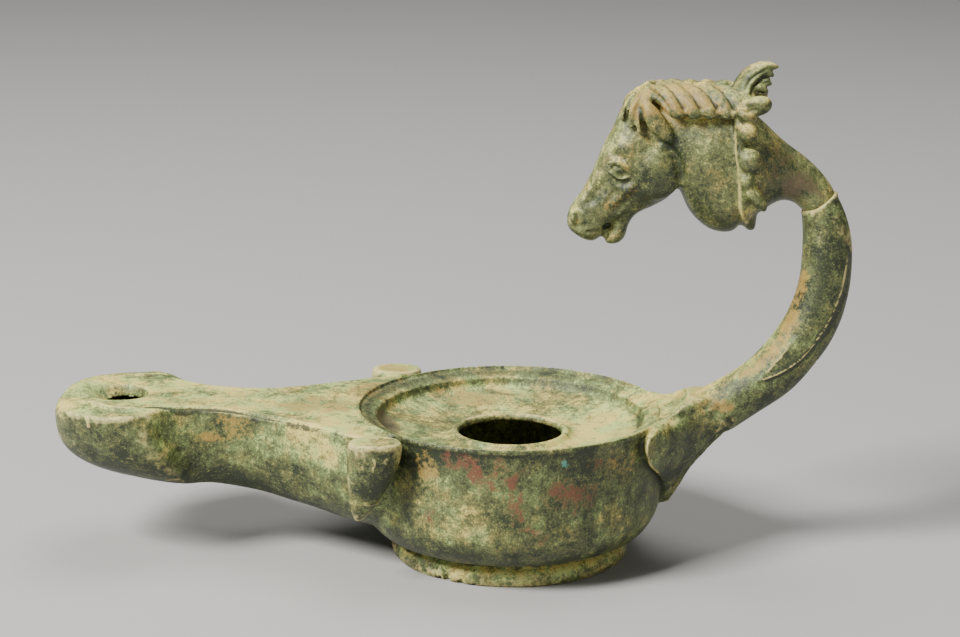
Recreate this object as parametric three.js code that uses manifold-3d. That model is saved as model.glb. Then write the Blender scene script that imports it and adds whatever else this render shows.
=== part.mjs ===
// An ancient Roman bronze oil lamp: a round reservoir on a ring foot, a long nozzle with a flared,
// rounded end, two bud-shaped lugs, and a looped handle that ends in a horse's head rising from a
// calyx of curled leaves. Millimetres, +Z up, the nozzle towards -X and the handle towards +X.
import * as THREE from "three";
import { mergeVertices } from "three/addons/utils/BufferGeometryUtils.js";
import Module from "manifold-3d";

const wasm = await Module();
wasm.setup();

// Reservoir, measured from its own upright axis and from the plane that the foot stands on
const RIM_RADIUS = 37;
const RIM_HEIGHT = 36.2;
const WALL = 2;
const LIP_DROP = 1.1;
const WAIST_INSET = 1.1;
const BELLY_INSET = 0.6;
const BELLY_HEIGHT = 15.5;
const FOOT_RADIUS = 28.5;
const FOOT_HEIGHT = 4.5;
const FOOT_RING_WIDTH = 3.4;
const FOOT_NECK_INSET = 2.2;
const BASE_RECESS = 2.2;
const BASE_THICKNESS = 2.2;

// Dished disc on top, with a moulded ring round the filling hole
const RIM_BAND_WIDTH = 4.7;
const RIM_BAND_DROP = 1.9;
const DISH_DEPTH = 6.9;
const FILL_HOLE_RADIUS = 12.3;
const FILL_RING_WIDTH = 2.1;
const FILL_RING_HEIGHT = 0.9;

// Nozzle
const NOZZLE_REACH = 110.3;
const NOZZLE_END_RADIUS = 20.2;
const NOZZLE_NECK_HALF_WIDTH = 11;
const NOZZLE_ROOT_SHARE = 0.803;
const NOZZLE_TIP_RISE = 1.1;
const NOZZLE_END_DEPTH = 17.7;
const NOZZLE_ROOT_DEPTH = 27;
const NOZZLE_WALL = 2.2;
const RIDGE_HEIGHT = 0.6;
const RIDGE_WIDTH = 1.5;
const WICK_HOLE_RADIUS = 6.5;
const WICK_HOLE_FROM_TIP = 15.4;

// Bud-shaped lugs where the nozzle joins the reservoir
const LUG_BEARING_DEG = 133;
const LUG_RADIUS = 6.1;
const LUG_LENGTH = 20.4;
const LUG_STANDOFF = 0.3;
const LUG_LEAN = [4.4, 5.4];

// Handle
const HANDLE_REACH = 72;
const HANDLE_RISE = 51;
const HANDLE_RADIUS = 6.3;
const HANDLE_JOINT_RADIUS = 4.7;
const HANDLE_ROOT_REACH = 8.6;
const HANDLE_ROOT_DROP = 1.1;
const STRAP_HALF_WIDTH = 25;
const LEAF_HALF_WIDTH = 15.5;
const LEAF_TIP_DROP = 23.6;
const LEAF_REACH = 16.2;
const LEAF_HOLLOW = 1.6;
const JOINT_GAP = 0.3;
const SEAM_BEAD = 0.35;

// Horse's head with its neck and calyx, from the chin to the tip of the tallest leaf
const FINIAL_HEIGHT = 44.1;

// Facets
const LATHE_SEGMENTS = 38;
const CURVE_STEPS = 3;
const NOZZLE_SIDES = 12;
const TUBE_SIDES = 12;
const HEAD_SIDES = 14;
const LUG_SIDES = 10;
const WICK_HOLE_SIDES = 18;
const LEAF_SIDES = 10;

// How far a cutting solid reaches past what it cuts
const CUT_MARGIN = 8;

const DEGREE = Math.PI / 180;
const bronze = (color, roughness) =>
  new THREE.MeshStandardMaterial({ color, roughness, metalness: 0.35 });

// A closed geometry as a solid that can be joined and cut
function solidOf(geometry) {
  const bare = geometry.index ? geometry.toNonIndexed() : geometry.clone();
  bare.deleteAttribute("normal");
  bare.deleteAttribute("uv");
  const merged = mergeVertices(bare, 1e-4);
  return new wasm.Manifold(
    new wasm.Mesh({
      numProp: 3,
      vertProperties: merged.attributes.position.array,
      triVerts: new Uint32Array(merged.index.array),
    }),
  );
}

function geometryOf(solid) {
  const mesh = solid.getMesh();
  const geometry = new THREE.BufferGeometry();
  geometry.setAttribute("position", new THREE.BufferAttribute(Float32Array.from(mesh.vertProperties), 3));
  geometry.setIndex(new THREE.BufferAttribute(Uint32Array.from(mesh.triVerts), 1));
  geometry.computeVertexNormals();
  return geometry;
}

const joined = (solids) => solids.reduce((whole, solid) => whole.add(solid));
const without = (whole, cuts) => cuts.reduce((rest, cut) => rest.subtract(cut), whole);

// A closed skin over rings of equal point count, each end closed by a fan round its middle
function skin(rings) {
  const count = rings[0].length;
  const middles = [rings[0], rings.at(-1)].map((ring) =>
    ring.reduce((sum, point) => sum.clone().add(point), new THREE.Vector3()).divideScalar(count),
  );
  const points = [...rings.flat(), ...middles];
  const firstMiddle = points.length - 2;
  const lastRing = (rings.length - 1) * count;
  const faces = [];
  for (let j = 0; j < count; j++) {
    const next = (j + 1) % count;
    for (let i = 0; i + 1 < rings.length; i++) {
      const a = i * count + j;
      const b = i * count + next;
      faces.push(a, b, b + count, a, b + count, a + count);
    }
    faces.push(firstMiddle, next, j, firstMiddle + 1, lastRing + j, lastRing + next);
  }
  const geometry = new THREE.BufferGeometry().setFromPoints(points);
  geometry.setIndex(faces);
  const solid = solidOf(geometry);
  if (solid.volume() >= 0) return solid;
  for (let k = 0; k < faces.length; k += 3) [faces[k + 1], faces[k + 2]] = [faces[k + 2], faces[k + 1]];
  geometry.setIndex(faces);
  return solidOf(geometry);
}

// A ring between two points of the middle plane, with a half width across it; a squareness of 1 is
// an ellipse, less fills the corners and more pinches them
function ovalRing({ top, bottom, half, square = 1 }, sides) {
  const [tx, tz] = top;
  const [bx, bz] = bottom;
  return Array.from({ length: sides }, (_, k) => {
    const angle = (2 * Math.PI * k) / sides;
    const along = Math.sign(Math.cos(angle)) * Math.abs(Math.cos(angle)) ** square;
    const across = Math.sign(Math.sin(angle)) * Math.abs(Math.sin(angle)) ** square;
    const share = (1 + along) / 2;
    return new THREE.Vector3(bx + (tx - bx) * share, half * across, bz + (tz - bz) * share);
  });
}

const ovalLoft = (stations, sides) => skin(stations.map((station) => ovalRing(station, sides)));

// An ellipsoid with its long axis turned by a pitch about Y and a roll about X
function blob([x, y, z], [rx, ry, rz], pitch = 0, roll = 0, sides = 7) {
  const geometry = new THREE.SphereGeometry(1, sides, Math.round(sides * 0.6));
  geometry.scale(rx, ry, rz);
  geometry.rotateX(roll * DEGREE);
  geometry.rotateY(pitch * DEGREE);
  geometry.translate(x, y, z);
  return solidOf(geometry);
}

const bothSides = (make) => [make(-1), make(1)];

// Lathe: a path in radius and height becomes a solid of revolution about the upright axis
function turned(path) {
  const geometry = new THREE.LatheGeometry(path.getPoints(CURVE_STEPS), LATHE_SEGMENTS);
  geometry.rotateX(Math.PI / 2);
  const solid = solidOf(geometry);
  if (solid.volume() >= 0) return solid;
  geometry.index.array.reverse();
  return solidOf(geometry);
}

const bellyRadius = RIM_RADIUS - BELLY_INSET;
const footNeckRadius = FOOT_RADIUS - FOOT_NECK_INSET;
const overhang = bellyRadius - footNeckRadius;
const waistHeight = (RIM_HEIGHT + BELLY_HEIGHT) / 2 + 2;
const ringTopHeight = RIM_HEIGHT - DISH_DEPTH + FILL_RING_HEIGHT;
const dishFloor = RIM_HEIGHT - DISH_DEPTH;
const fillRingOuter = FILL_HOLE_RADIUS + FILL_RING_WIDTH;
const bandInner = RIM_RADIUS - RIM_BAND_WIDTH;

// The outside of the reservoir, full up to the plane of its rim
function reservoirBlock() {
  const path = new THREE.Path();
  path.moveTo(0, BASE_RECESS);
  path.lineTo(FOOT_RADIUS - FOOT_RING_WIDTH - BASE_RECESS, BASE_RECESS);
  path.lineTo(FOOT_RADIUS - FOOT_RING_WIDTH, 0);
  path.lineTo(FOOT_RADIUS - 0.5, 0);
  path.quadraticCurveTo(FOOT_RADIUS + 0.5, FOOT_HEIGHT * 0.45, FOOT_RADIUS - 1, FOOT_HEIGHT);
  path.lineTo(footNeckRadius, FOOT_HEIGHT + 0.3);
  path.bezierCurveTo(
    footNeckRadius + overhang * 0.6, FOOT_HEIGHT + 1.2,
    bellyRadius, FOOT_HEIGHT + 4.2,
    bellyRadius, BELLY_HEIGHT,
  );
  path.quadraticCurveTo(bellyRadius, waistHeight - 4, RIM_RADIUS - WAIST_INSET, waistHeight);
  path.quadraticCurveTo(
    RIM_RADIUS - WAIST_INSET, RIM_HEIGHT - LIP_DROP - 1.5,
    RIM_RADIUS - 0.2, RIM_HEIGHT - LIP_DROP,
  );
  path.lineTo(RIM_RADIUS, RIM_HEIGHT);
  path.lineTo(0, RIM_HEIGHT);
  return turned(path);
}

// The hollow of the dish above the disc, cut from whatever stands inside the rim
function dishHollow() {
  const clear = RIM_HEIGHT + CUT_MARGIN;
  const path = new THREE.Path();
  path.moveTo(0, ringTopHeight - FILL_RING_HEIGHT);
  path.lineTo(FILL_HOLE_RADIUS, ringTopHeight - FILL_RING_HEIGHT);
  path.quadraticCurveTo(
    FILL_HOLE_RADIUS + FILL_RING_WIDTH / 2, ringTopHeight + FILL_RING_HEIGHT,
    fillRingOuter, dishFloor,
  );
  path.quadraticCurveTo(bandInner - 8, dishFloor + 0.6, bandInner - 0.4, RIM_HEIGHT - RIM_BAND_DROP - 0.9);
  path.lineTo(bandInner, RIM_HEIGHT - RIM_BAND_DROP);
  path.lineTo(RIM_RADIUS - 0.7, RIM_HEIGHT);
  path.lineTo(RIM_RADIUS - 0.7, clear);
  path.lineTo(0, clear);
  return turned(path);
}

// The oil space with the filling hole above it
function reservoirHollow() {
  const floor = BASE_RECESS + BASE_THICKNESS;
  const innerBelly = bellyRadius - WALL;
  const innerWaist = RIM_RADIUS - WAIST_INSET - WALL;
  const path = new THREE.Path();
  path.moveTo(0, floor);
  path.lineTo(footNeckRadius - WALL, floor);
  path.bezierCurveTo(
    footNeckRadius + overhang * 0.45, FOOT_HEIGHT + 1.2 + WALL,
    innerBelly, FOOT_HEIGHT + 4.2 + WALL * 0.5,
    innerBelly, BELLY_HEIGHT,
  );
  path.quadraticCurveTo(innerBelly, waistHeight - 4, innerWaist, RIM_HEIGHT - RIM_BAND_DROP - WALL - 2.4);
  path.quadraticCurveTo(bandInner - 8, dishFloor + 0.6 - WALL, fillRingOuter, dishFloor - WALL);
  path.lineTo(FILL_HOLE_RADIUS, dishFloor - WALL + 0.2);
  path.lineTo(FILL_HOLE_RADIUS, RIM_HEIGHT);
  path.lineTo(0, RIM_HEIGHT);
  return turned(path);
}

// Nozzle stations from the tip to the reservoir. Each has a top point and a keel point, so that the
// stations lean back and the flared end breaks off in one slanting crease
const nozzleEndCentre = -NOZZLE_REACH + NOZZLE_END_RADIUS;
const nozzleRoot = -RIM_RADIUS * 0.65;
const nozzleRootHalfWidth = RIM_RADIUS * NOZZLE_ROOT_SHARE;
const crestLean = NOZZLE_END_RADIUS * 0.48;
const neckStart = nozzleEndCentre + 10;
const neckSpan = nozzleRoot - neckStart;
const keelSlope = (NOZZLE_ROOT_DEPTH - NOZZLE_END_DEPTH) / (-RIM_RADIUS - nozzleEndCentre);

// The underside falls gently to the reservoir and rounds up to the tip
function keelHeight(x) {
  const noseShare = Math.min(1, Math.max(0, (nozzleEndCentre - x) / NOZZLE_END_RADIUS));
  const depth = NOZZLE_END_DEPTH + keelSlope * Math.max(0, x - nozzleEndCentre);
  return RIM_HEIGHT - depth * (1 - noseShare ** 2.2) ** 0.45;
}

const nozzleStation = (x, lean, half, ridge, full) => {
  const keelX = x + lean;
  return { x, keelX, keelZ: keelHeight(keelX), half, ridge, full };
};

function nozzleStations() {
  const radius = NOZZLE_END_RADIUS;
  const nose = [9, 20, 34, 50, 68, 88].map((bearing) => {
    const swell = Math.sin(bearing * DEGREE);
    const x = nozzleEndCentre - radius * Math.cos(bearing * DEGREE);
    return nozzleStation(x, 0.4 + crestLean * swell ** 3, radius * swell, radius * swell * 0.77, 0.74);
  });
  const shoulders = [
    [3.6, 0.985, 0.76, 0.8],
    [5.6, 0.93, 0.7, 0.84],
    [7.4, 0.79, 0.66, 0.88],
  ].map(([step, half, ridge, full]) =>
    nozzleStation(nozzleEndCentre + step, crestLean, radius * half, radius * ridge, full),
  );
  const neck = [
    [0, 0.1, 0.84],
    [0.08, 0.029, 0.84],
    [0.18, -0.006, 0.82],
    [0.32, 0.059, 0.8],
    [0.46, 0.17, 0.77],
    [0.6, 0.323, 0.74],
    [0.74, 0.57, 0.7],
    [0.87, 0.87, 0.66],
    [1, 1, 0.66],
  ].map(([share, flare, full]) => {
    const half = THREE.MathUtils.lerp(NOZZLE_NECK_HALF_WIDTH, nozzleRootHalfWidth, flare);
    const lean = crestLean * Math.max(0, 1 - share * 1.6);
    return nozzleStation(neckStart + neckSpan * share, lean, half, half - 0.4, full);
  });
  return [...nose, ...shoulders, ...neck];
}

// The top starts just under the rim and climbs a little before it runs level to the tip
function nozzleTop(x) {
  const climb = Math.min(1, Math.max(0, (-RIM_RADIUS - x) / (NOZZLE_REACH * 0.345)));
  return RIM_HEIGHT - 0.5 + NOZZLE_TIP_RISE * climb;
}

// The rounded underside of one section, from one edge of its top to the other
function hullArc({ x, keelX, keelZ, full }, half, top, lift) {
  return Array.from({ length: NOZZLE_SIDES + 1 }, (_, k) => {
    const angle = (Math.PI * k) / NOZZLE_SIDES;
    const depth = Math.sin(angle) ** full;
    const across = Math.sign(Math.cos(angle)) * Math.abs(Math.cos(angle)) ** full;
    return new THREE.Vector3(x + (keelX - x) * depth, half * across, top + (keelZ + lift - top) * depth);
  });
}

// One section of the nozzle: the hull below, a narrow ledge, a ridge and a flat channel above
function nozzleSection(station) {
  const { x, half, ridge } = station;
  const top = nozzleTop(x);
  const crest = Math.min(ridge, half - 0.3);
  const foot = Math.max(crest - RIDGE_WIDTH, crest * 0.4);
  const channel = [
    [-crest, RIDGE_HEIGHT],
    [-foot, 0],
    [0, -0.25],
    [foot, 0],
    [crest, RIDGE_HEIGHT],
  ];
  return [
    ...hullArc(station, half, top, 0),
    ...channel.map(([y, rise]) => new THREE.Vector3(x, y, top + rise)),
  ];
}

const nozzleBlock = () => skin(nozzleStations().map(nozzleSection));

// The oil way through the nozzle: it stays a wall's thickness inside the hull and dips under the disc
function nozzleHollow() {
  const inside = nozzleStations().filter(({ half }) => half > NOZZLE_END_RADIUS * 0.5);
  const rings = inside.map((station) => {
    const underDisc = THREE.MathUtils.smoothstep(station.x, -RIM_RADIUS - 16, -RIM_RADIUS + 3);
    const top = nozzleTop(station.x) - NOZZLE_WALL - DISH_DEPTH * underDisc;
    const half = (station.half - NOZZLE_WALL) * (1 - 0.45 * underDisc);
    return hullArc(station, half, top, NOZZLE_WALL);
  });
  return skin(rings);
}

function wickHole() {
  const x = -NOZZLE_REACH + WICK_HOLE_FROM_TIP;
  const top = nozzleTop(x);
  const flare = [
    [0.9, WICK_HOLE_RADIUS * 0.94, -NOZZLE_WALL - 4],
    [0.9, WICK_HOLE_RADIUS * 0.94, -1.4],
    [1.1, WICK_HOLE_RADIUS * 1.12, 0.1],
    [1.4, WICK_HOLE_RADIUS * 1.6, RIDGE_HEIGHT + 1],
  ];
  return skin(
    flare.map(([stretch, radius, rise]) =>
      Array.from({ length: WICK_HOLE_SIDES }, (_, k) => {
        const angle = (2 * Math.PI * k) / WICK_HOLE_SIDES;
        return new THREE.Vector3(
          x + radius * stretch * 1.05 * Math.cos(angle),
          radius * Math.sin(angle),
          top + rise,
        );
      }),
    ),
  );
}

// A lug: a flat-topped bud that tapers past a groove to a point leaning towards the nozzle
function lug(side) {
  const away = RIM_RADIUS + LUG_RADIUS + LUG_STANDOFF;
  const x = away * Math.cos(LUG_BEARING_DEG * DEGREE);
  const y = side * away * Math.sin(LUG_BEARING_DEG * DEGREE);
  const top = RIM_HEIGHT - 0.3;
  const outline = [
    [0, 0.72],
    [0, 0.94],
    [0.05, 1.02],
    [0.28, 0.99],
    [0.48, 0.84],
    [0.62, 0.66],
    [0.7, 0.56],
    [0.73, 0.48],
    [0.78, 0.5],
    [0.88, 0.34],
    [1, 0.08],
  ];
  const rings = outline.map(([down, swell], k) => {
    const lean = down ** 1.5;
    return Array.from({ length: LUG_SIDES }, (_, s) => {
      const angle = (2 * Math.PI * s) / LUG_SIDES;
      return new THREE.Vector3(
        x - LUG_LEAN[0] * lean + LUG_RADIUS * swell * Math.cos(angle),
        y - side * LUG_LEAN[1] * lean + LUG_RADIUS * 0.92 * swell * Math.sin(angle),
        top - LUG_LENGTH * down + (k === 0 ? 0.35 : 0),
      );
    });
  });
  return skin(rings);
}

// Handle: one sweep that leaves the rim as a broad strap and rises as a tube to the joint under the
// horse's neck
const jointCentre = new THREE.Vector3(HANDLE_REACH, 0, RIM_HEIGHT + HANDLE_RISE);
const handleStart = new THREE.Vector3(RIM_RADIUS + HANDLE_ROOT_REACH, 0, RIM_HEIGHT - HANDLE_ROOT_DROP);
const handleSpan = jointCentre.clone().sub(handleStart);
const handlePoint = (x, z) =>
  new THREE.Vector3(handleStart.x + handleSpan.x * x, 0, handleStart.z + handleSpan.z * z);
const handleCurve = new THREE.CubicBezierCurve3(
  handleStart,
  handlePoint(0.77, 0.13),
  handlePoint(1.36, 0.58),
  jointCentre,
);
const jointAxis = handleCurve.getTangent(1);

// A ring across a direction in the middle plane; its first point lies on the handle's inner side, and
// a squareness under 1 fills its corners
function tubeRing(centre, along, depth, width, square = 1) {
  const inward = new THREE.Vector3(-along.z, 0, along.x);
  return Array.from({ length: TUBE_SIDES }, (_, k) => {
    const angle = (2 * Math.PI * k) / TUBE_SIDES;
    const inner = Math.sign(Math.cos(angle)) * Math.abs(Math.cos(angle)) ** square;
    const side = Math.sign(Math.sin(angle)) * Math.abs(Math.sin(angle)) ** square;
    return centre.clone().addScaledVector(inward, depth * inner).add(new THREE.Vector3(0, width * side, 0));
  });
}

function strapRings() {
  const stations = [
    [-9, -1.9, 0, 1.9, 1.04, 0.6],
    [-5, -1.9, 0, 2.2, 0.92, 0.6],
    [-2, -1.4, 2, 2.9, 0.76, 0.65],
    [1.2, -1.1, 8, 3.9, 0.57, 0.7],
    [5, -1.1, 14, 5.0, 0.38, 0.8],
  ];
  return stations.map(([out, drop, pitch, depth, width, square]) => {
    const centre = new THREE.Vector3(RIM_RADIUS + out, 0, RIM_HEIGHT + drop);
    const along = new THREE.Vector3(Math.cos(pitch * DEGREE), 0, Math.sin(pitch * DEGREE));
    return tubeRing(centre, along, depth, STRAP_HALF_WIDTH * width, square);
  });
}

function handleArm() {
  const steps = 17;
  const rings = strapRings();
  for (let i = 0; i <= steps; i++) {
    const t = i / steps;
    const fade = THREE.MathUtils.smoothstep(t, 0.72, 1);
    const radius = THREE.MathUtils.lerp(HANDLE_RADIUS, HANDLE_JOINT_RADIUS, fade);
    rings.push(tubeRing(handleCurve.getPoint(t), handleCurve.getTangent(t), radius, radius * 0.97));
  }
  const bead = HANDLE_JOINT_RADIUS + SEAM_BEAD;
  rings.splice(-1, 0, seamRing(-1.4, HANDLE_JOINT_RADIUS + 0.1), seamRing(-1, bead), seamRing(-0.25, bead));
  return skin(rings);
}

// A round ring at the joint; a negative radius starts it on the handle's outer side
function seamRing(offset, radius) {
  const centre = jointCentre.clone().addScaledVector(jointAxis, offset);
  return tubeRing(centre, jointAxis, radius, Math.abs(radius) * 0.97);
}

// The leaf under the handle's root: its keel runs down the reservoir's wall to a pointed tip
function rootLeaf() {
  const tip = new THREE.Vector3(RIM_RADIUS + 1.4, 0, RIM_HEIGHT - LEAF_TIP_DROP);
  const head = new THREE.Vector3(RIM_RADIUS + LEAF_REACH, 0, RIM_HEIGHT - 4);
  const length = tip.distanceTo(head);
  const along = head.clone().sub(tip).normalize();
  const inward = new THREE.Vector3(-along.z, 0, along.x);
  const stations = [
    [0, 3.5, 0.05],
    [0.1, 5.5, 0.3],
    [0.2, 9.5, 0.62],
    [0.3, 14.5, 0.92],
    [0.42, 16, 1],
    [0.56, 16, 0.92],
    [0.7, 15.5, 0.72],
    [0.84, 12.5, 0.58],
    [0.96, 10, 0.5],
    [1.04, 8, 0.4],
  ];
  const rings = stations.map(([share, depth, width]) => {
    const bow = LEAF_HOLLOW * Math.sin(Math.PI * Math.min(1, share));
    const keel = tip.clone().addScaledVector(along, length * share).addScaledVector(inward, bow);
    return Array.from({ length: LEAF_SIDES + 1 }, (_, k) => {
      const angle = Math.PI * (k / LEAF_SIDES - 0.5);
      const sink = depth * (1 - Math.cos(angle) ** 0.75);
      const across = new THREE.Vector3(0, LEAF_HALF_WIDTH * width * Math.sin(angle), 0);
      return keel.clone().addScaledVector(inward, sink).add(across);
    });
  });
  return skin(rings);
}

// The lamp's own casting: reservoir, nozzle, lugs and handle arm, hollow for the oil
function lampBody() {
  const block = joined([
    reservoirBlock(),
    nozzleBlock(),
    ...bothSides(lug),
    handleArm(),
    rootLeaf(),
  ]);
  return without(block, [dishHollow(), reservoirHollow(), nozzleHollow(), wickHole()]);
}

// Horse's head. Places are [x, z] or [x, y, z] on a grid of so many steps to the finial's height,
// measured from the middle of the handle's joint
const FINIAL_GRID_STEPS = 44.1;
const grow = FINIAL_HEIGHT / FINIAL_GRID_STEPS;
const at = (place) => {
  const scaled = place.map((value) => value * grow);
  scaled[0] += jointCentre.x;
  scaled[scaled.length - 1] += jointCentre.z;
  return scaled;
};
const station = (top, bottom, half, square = 1) => ({
  top: at(top),
  bottom: at(bottom),
  half: half * grow,
  square,
});
const lump = (place, radii, pitch, roll, sides) =>
  blob(at(place), radii.map((radius) => radius * grow), pitch, roll, sides);

// The stem flares like a trumpet from the joint to the calyx
function stem() {
  const flare = [
    station([0.9, 6.2], [-4.6, -1.3], 4.6),
    station([-1.2, 8.9], [-6.6, 0.6], 5.0),
    station([-4.6, 11.6], [-8.8, 0.9], 5.8),
    station([-7.6, 13.7], [-10.7, 0.1], 6.8),
    station([-10.2, 15.8], [-12.4, -1.2], 7.8),
    station([-12.8, 18.2], [-14.6, -2.6], 8.8),
    station([-16.0, 20.9], [-17.2, -3.8], 9.4),
    station([-19.4, 23.4], [-19.6, -4.2], 9.2),
  ].map((place) => ovalRing(place, TUBE_SIDES));
  return skin([seamRing(JOINT_GAP, -HANDLE_JOINT_RADIUS), ...flare]);
}

function neck() {
  return ovalLoft([
    station([-17.8, 23.8], [-18.0, -4.6], 9.0),
    station([-21.5, 25.4], [-20.6, -7.3], 9.7, 0.95),
    station([-25.5, 25.8], [-25.5, -6.7], 9.1, 0.95),
    station([-29.5, 25.7], [-30.3, -2.6], 8.0, 0.95),
    station([-33.5, 25.3], [-32.9, 2.4], 7.1),
    station([-38.0, 24.6], [-34.4, 6.7], 6.3),
    station([-42.0, 23.0], [-38.0, 10.7], 4.6),
  ], HEAD_SIDES);
}

function skull() {
  return ovalLoft([
    station([-43.5, 25.4], [-33.6, 13.2], 4.2),
    station([-47.2, 22.2], [-32.6, 8.0], 6.3, 0.95),
    station([-49.0, 17.1], [-33.2, 4.2], 7.2, 0.9),
    station([-50.8, 13.5], [-35.2, 1.2], 7.4, 0.9),
    station([-52.4, 9.6], [-38.4, -0.8], 6.9, 0.9),
    station([-54.0, 5.6], [-41.9, -2.4], 5.9, 0.9),
    station([-56.2, 1.6], [-44.6, -3.9], 5.0, 0.9),
    station([-58.3, -1.5], [-47.9, -5.4], 4.5, 0.9),
    station([-59.4, -4.5], [-50.1, -7.9], 4.5, 0.9),
    station([-58.8, -7.1], [-51.8, -9.6], 3.8),
    station([-56.4, -8.9], [-53.3, -10.4], 2.2),
  ], HEAD_SIDES);
}

function lowerJaw() {
  return ovalLoft([
    station([-41.0, 3.2], [-39.5, -1.6], 4.8),
    station([-44.6, -0.6], [-42.9, -3.3], 4.1),
    station([-48.0, -4.4], [-44.6, -5.7], 3.6),
    station([-49.6, -7.2], [-45.1, -7.8], 3.3),
    station([-50.9, -9.5], [-45.7, -9.4], 3.0),
    station([-50.0, -10.7], [-47.4, -10.7], 1.8),
  ], 10);
}

function mouthCut() {
  return ovalLoft([
    station([-49.5, -5.2], [-49.0, -5.9], 8),
    station([-50.6, -7.6], [-49.8, -7.9], 8),
    station([-51.8, -10.6], [-50.5, -10.8], 8),
  ], 8);
}

// Mane: a crest cut into locks that overhang both sides of the neck and lean back as they fall
const MANE_LOCKS = 6;

function mane() {
  const steps = MANE_LOCKS * 2;
  const rings = Array.from({ length: steps + 1 }, (_, k) => {
    const share = k / steps;
    const x = THREE.MathUtils.lerp(-42, -21.4, share);
    const swell = k % 2 ? 1 : 0.84;
    const taper = 1 - 0.28 * Math.max(0, 0.35 - share) / 0.35;
    const half = THREE.MathUtils.lerp(6.4, 7.7, share) * swell * taper;
    const top = 27 + 1.6 * Math.sin(Math.PI * (0.2 + 0.6 * share)) * (k % 2 ? 1 : 0.6);
    return ovalRing(station([x - 1.2, top], [x + 2.2, 20.6], half, 0.8), 12);
  });
  return skin(rings);
}

function forelock() {
  const strands = bothSides((side) => [
    lump([-45.6, side * 1.5, 22.2], [1.7, 1.5, 3.4], 24),
    lump([-43.4, side * 3.6, 22.0], [1.6, 1.5, 4.0], 10, side * 8),
    lump([-42.4, side * 5.4, 18.4], [1.3, 1.3, 4.6], -6, side * 10),
  ]).flat();
  return [...strands, lump([-41.0, 0, 25.8], [2.9, 2.6, 1.8])];
}

// Ears laid back against the neck, brows, eyes, cheeks and nostrils
const ear = (side) => lump([-37.6, side * 6.0, 18.6], [5.2, 2.0, 3.9], -38, side * -14, 12);
const cheek = (side) => lump([-38.6, side * 4.8, 7.6], [6.4, 2.9, 6.6], 0, 0, 14);
const brow = (side) => lump([-48.0, side * 5.6, 9.2], [2.6, 1.8, 1.5], 28);
const eye = (side) => lump([-47.6, side * 6.1, 6.9], [2.0, 1.4, 1.3], 22);
const nostrilRim = (side) => lump([-56.4, side * 3.7, -4.6], [2.3, 1.6, 2.0], 55);
const nostrilPit = (side) => lump([-56.2, side * 5.2, -5.6], [1.4, 1.0, 0.9], 55);
const earSlit = (side) => lump([-41.8, side * 8.2, 18.0], [0.5, 1.4, 3.8], -8);

// Calyx: a thin scalloped collar round the base of the neck, with lobes that curl back over the stem
const LOBES = 9;

function collar() {
  const facets = 4;
  const sides = LOBES * facets;
  const middle = 10.9;
  const halfHeight = 16.3;
  const halfWidth = 11.4;
  const tilt = 0.11;
  const lobeReach = 2.7;
  const notchShare = 0.62;
  const profile = [
    [-20.6, 0.9, 0],
    [-21.6, 1.0, 0],
    [-20.4, 1.06, 0],
    [-18.2, 1.08, 0.6],
    [-17.6, 0.98, 1],
    [-18.2, 0.84, 0.5],
  ];
  const rings = profile.map(([x, spread, curl]) =>
    Array.from({ length: sides }, (_, k) => {
      const angle = (2 * Math.PI * (k + facets / 2)) / sides;
      const swell = Math.sin((Math.PI * (k % facets)) / facets) ** 0.7;
      const reach = lobeReach * curl * (1 - notchShare * (1 - swell)) * (1 + 0.9 * Math.cos(angle));
      const wide = spread * (1 + 0.09 * (swell - 0.5) * curl);
      const height = middle + halfHeight * wide * Math.cos(angle);
      const [sx, sz] = at([x + reach + tilt * (middle - height), height]);
      return new THREE.Vector3(sx, halfWidth * wide * Math.sin(angle) * grow, sz);
    }),
  );
  return skin(rings);
}

// The tallest leaf curls back over the calyx; a short one points down under the neck
function tallLeaf() {
  return ovalLoft([
    station([-21.9, 25.0], [-16.2, 22.2], 4.6, 0.8),
    station([-21.0, 28.8], [-14.8, 26.0], 4.6, 0.8),
    station([-19.4, 31.0], [-13.8, 27.9], 4.0, 0.8),
    station([-17.2, 32.6], [-12.7, 29.6], 3.2, 0.8),
    station([-14.6, 33.3], [-12.0, 30.8], 2.4, 0.8),
    station([-12.0, 33.0], [-11.4, 31.4], 1.5),
    station([-10.2, 31.8], [-10.8, 31.2], 0.6),
  ], LEAF_SIDES);
}

function lowLeaf() {
  return ovalLoft([
    station([-19.3, 0.6], [-16.4, 0.4], 3.4),
    station([-19.1, -2.4], [-15.0, -2.6], 3.0),
    station([-18.2, -5.6], [-15.2, -5.0], 2.2),
    station([-16.6, -7.2], [-14.8, -7.2], 1.0),
  ], LEAF_SIDES);
}

function horseHead() {
  const solid = joined([
    stem(),
    neck(),
    skull(),
    lowerJaw(),
    mane(),
    ...forelock(),
    ...[ear, cheek, brow, eye, nostrilRim].flatMap(bothSides),
    collar(),
    tallLeaf(),
    lowLeaf(),
  ]);
  return without(solid, [mouthCut(), ...[nostrilPit, earSlit].flatMap(bothSides)]);
}

// The part stands on its foot, with its origin under the middle of its box
const lamp = new THREE.Group();
const pieces = [
  ["lamp_body", lampBody(), bronze(0x7b7f5c, 0.62)],
  ["horse_head_finial", horseHead(), bronze(0x8a8660, 0.6)],
];
for (const [name, solid, material] of pieces) {
  const mesh = new THREE.Mesh(geometryOf(solid), material);
  mesh.name = name;
  lamp.add(mesh);
}
const middle = new THREE.Box3().setFromObject(lamp).getCenter(new THREE.Vector3());
for (const mesh of lamp.children) mesh.position.set(-middle.x, -middle.y, 0);

export default lamp;
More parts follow.
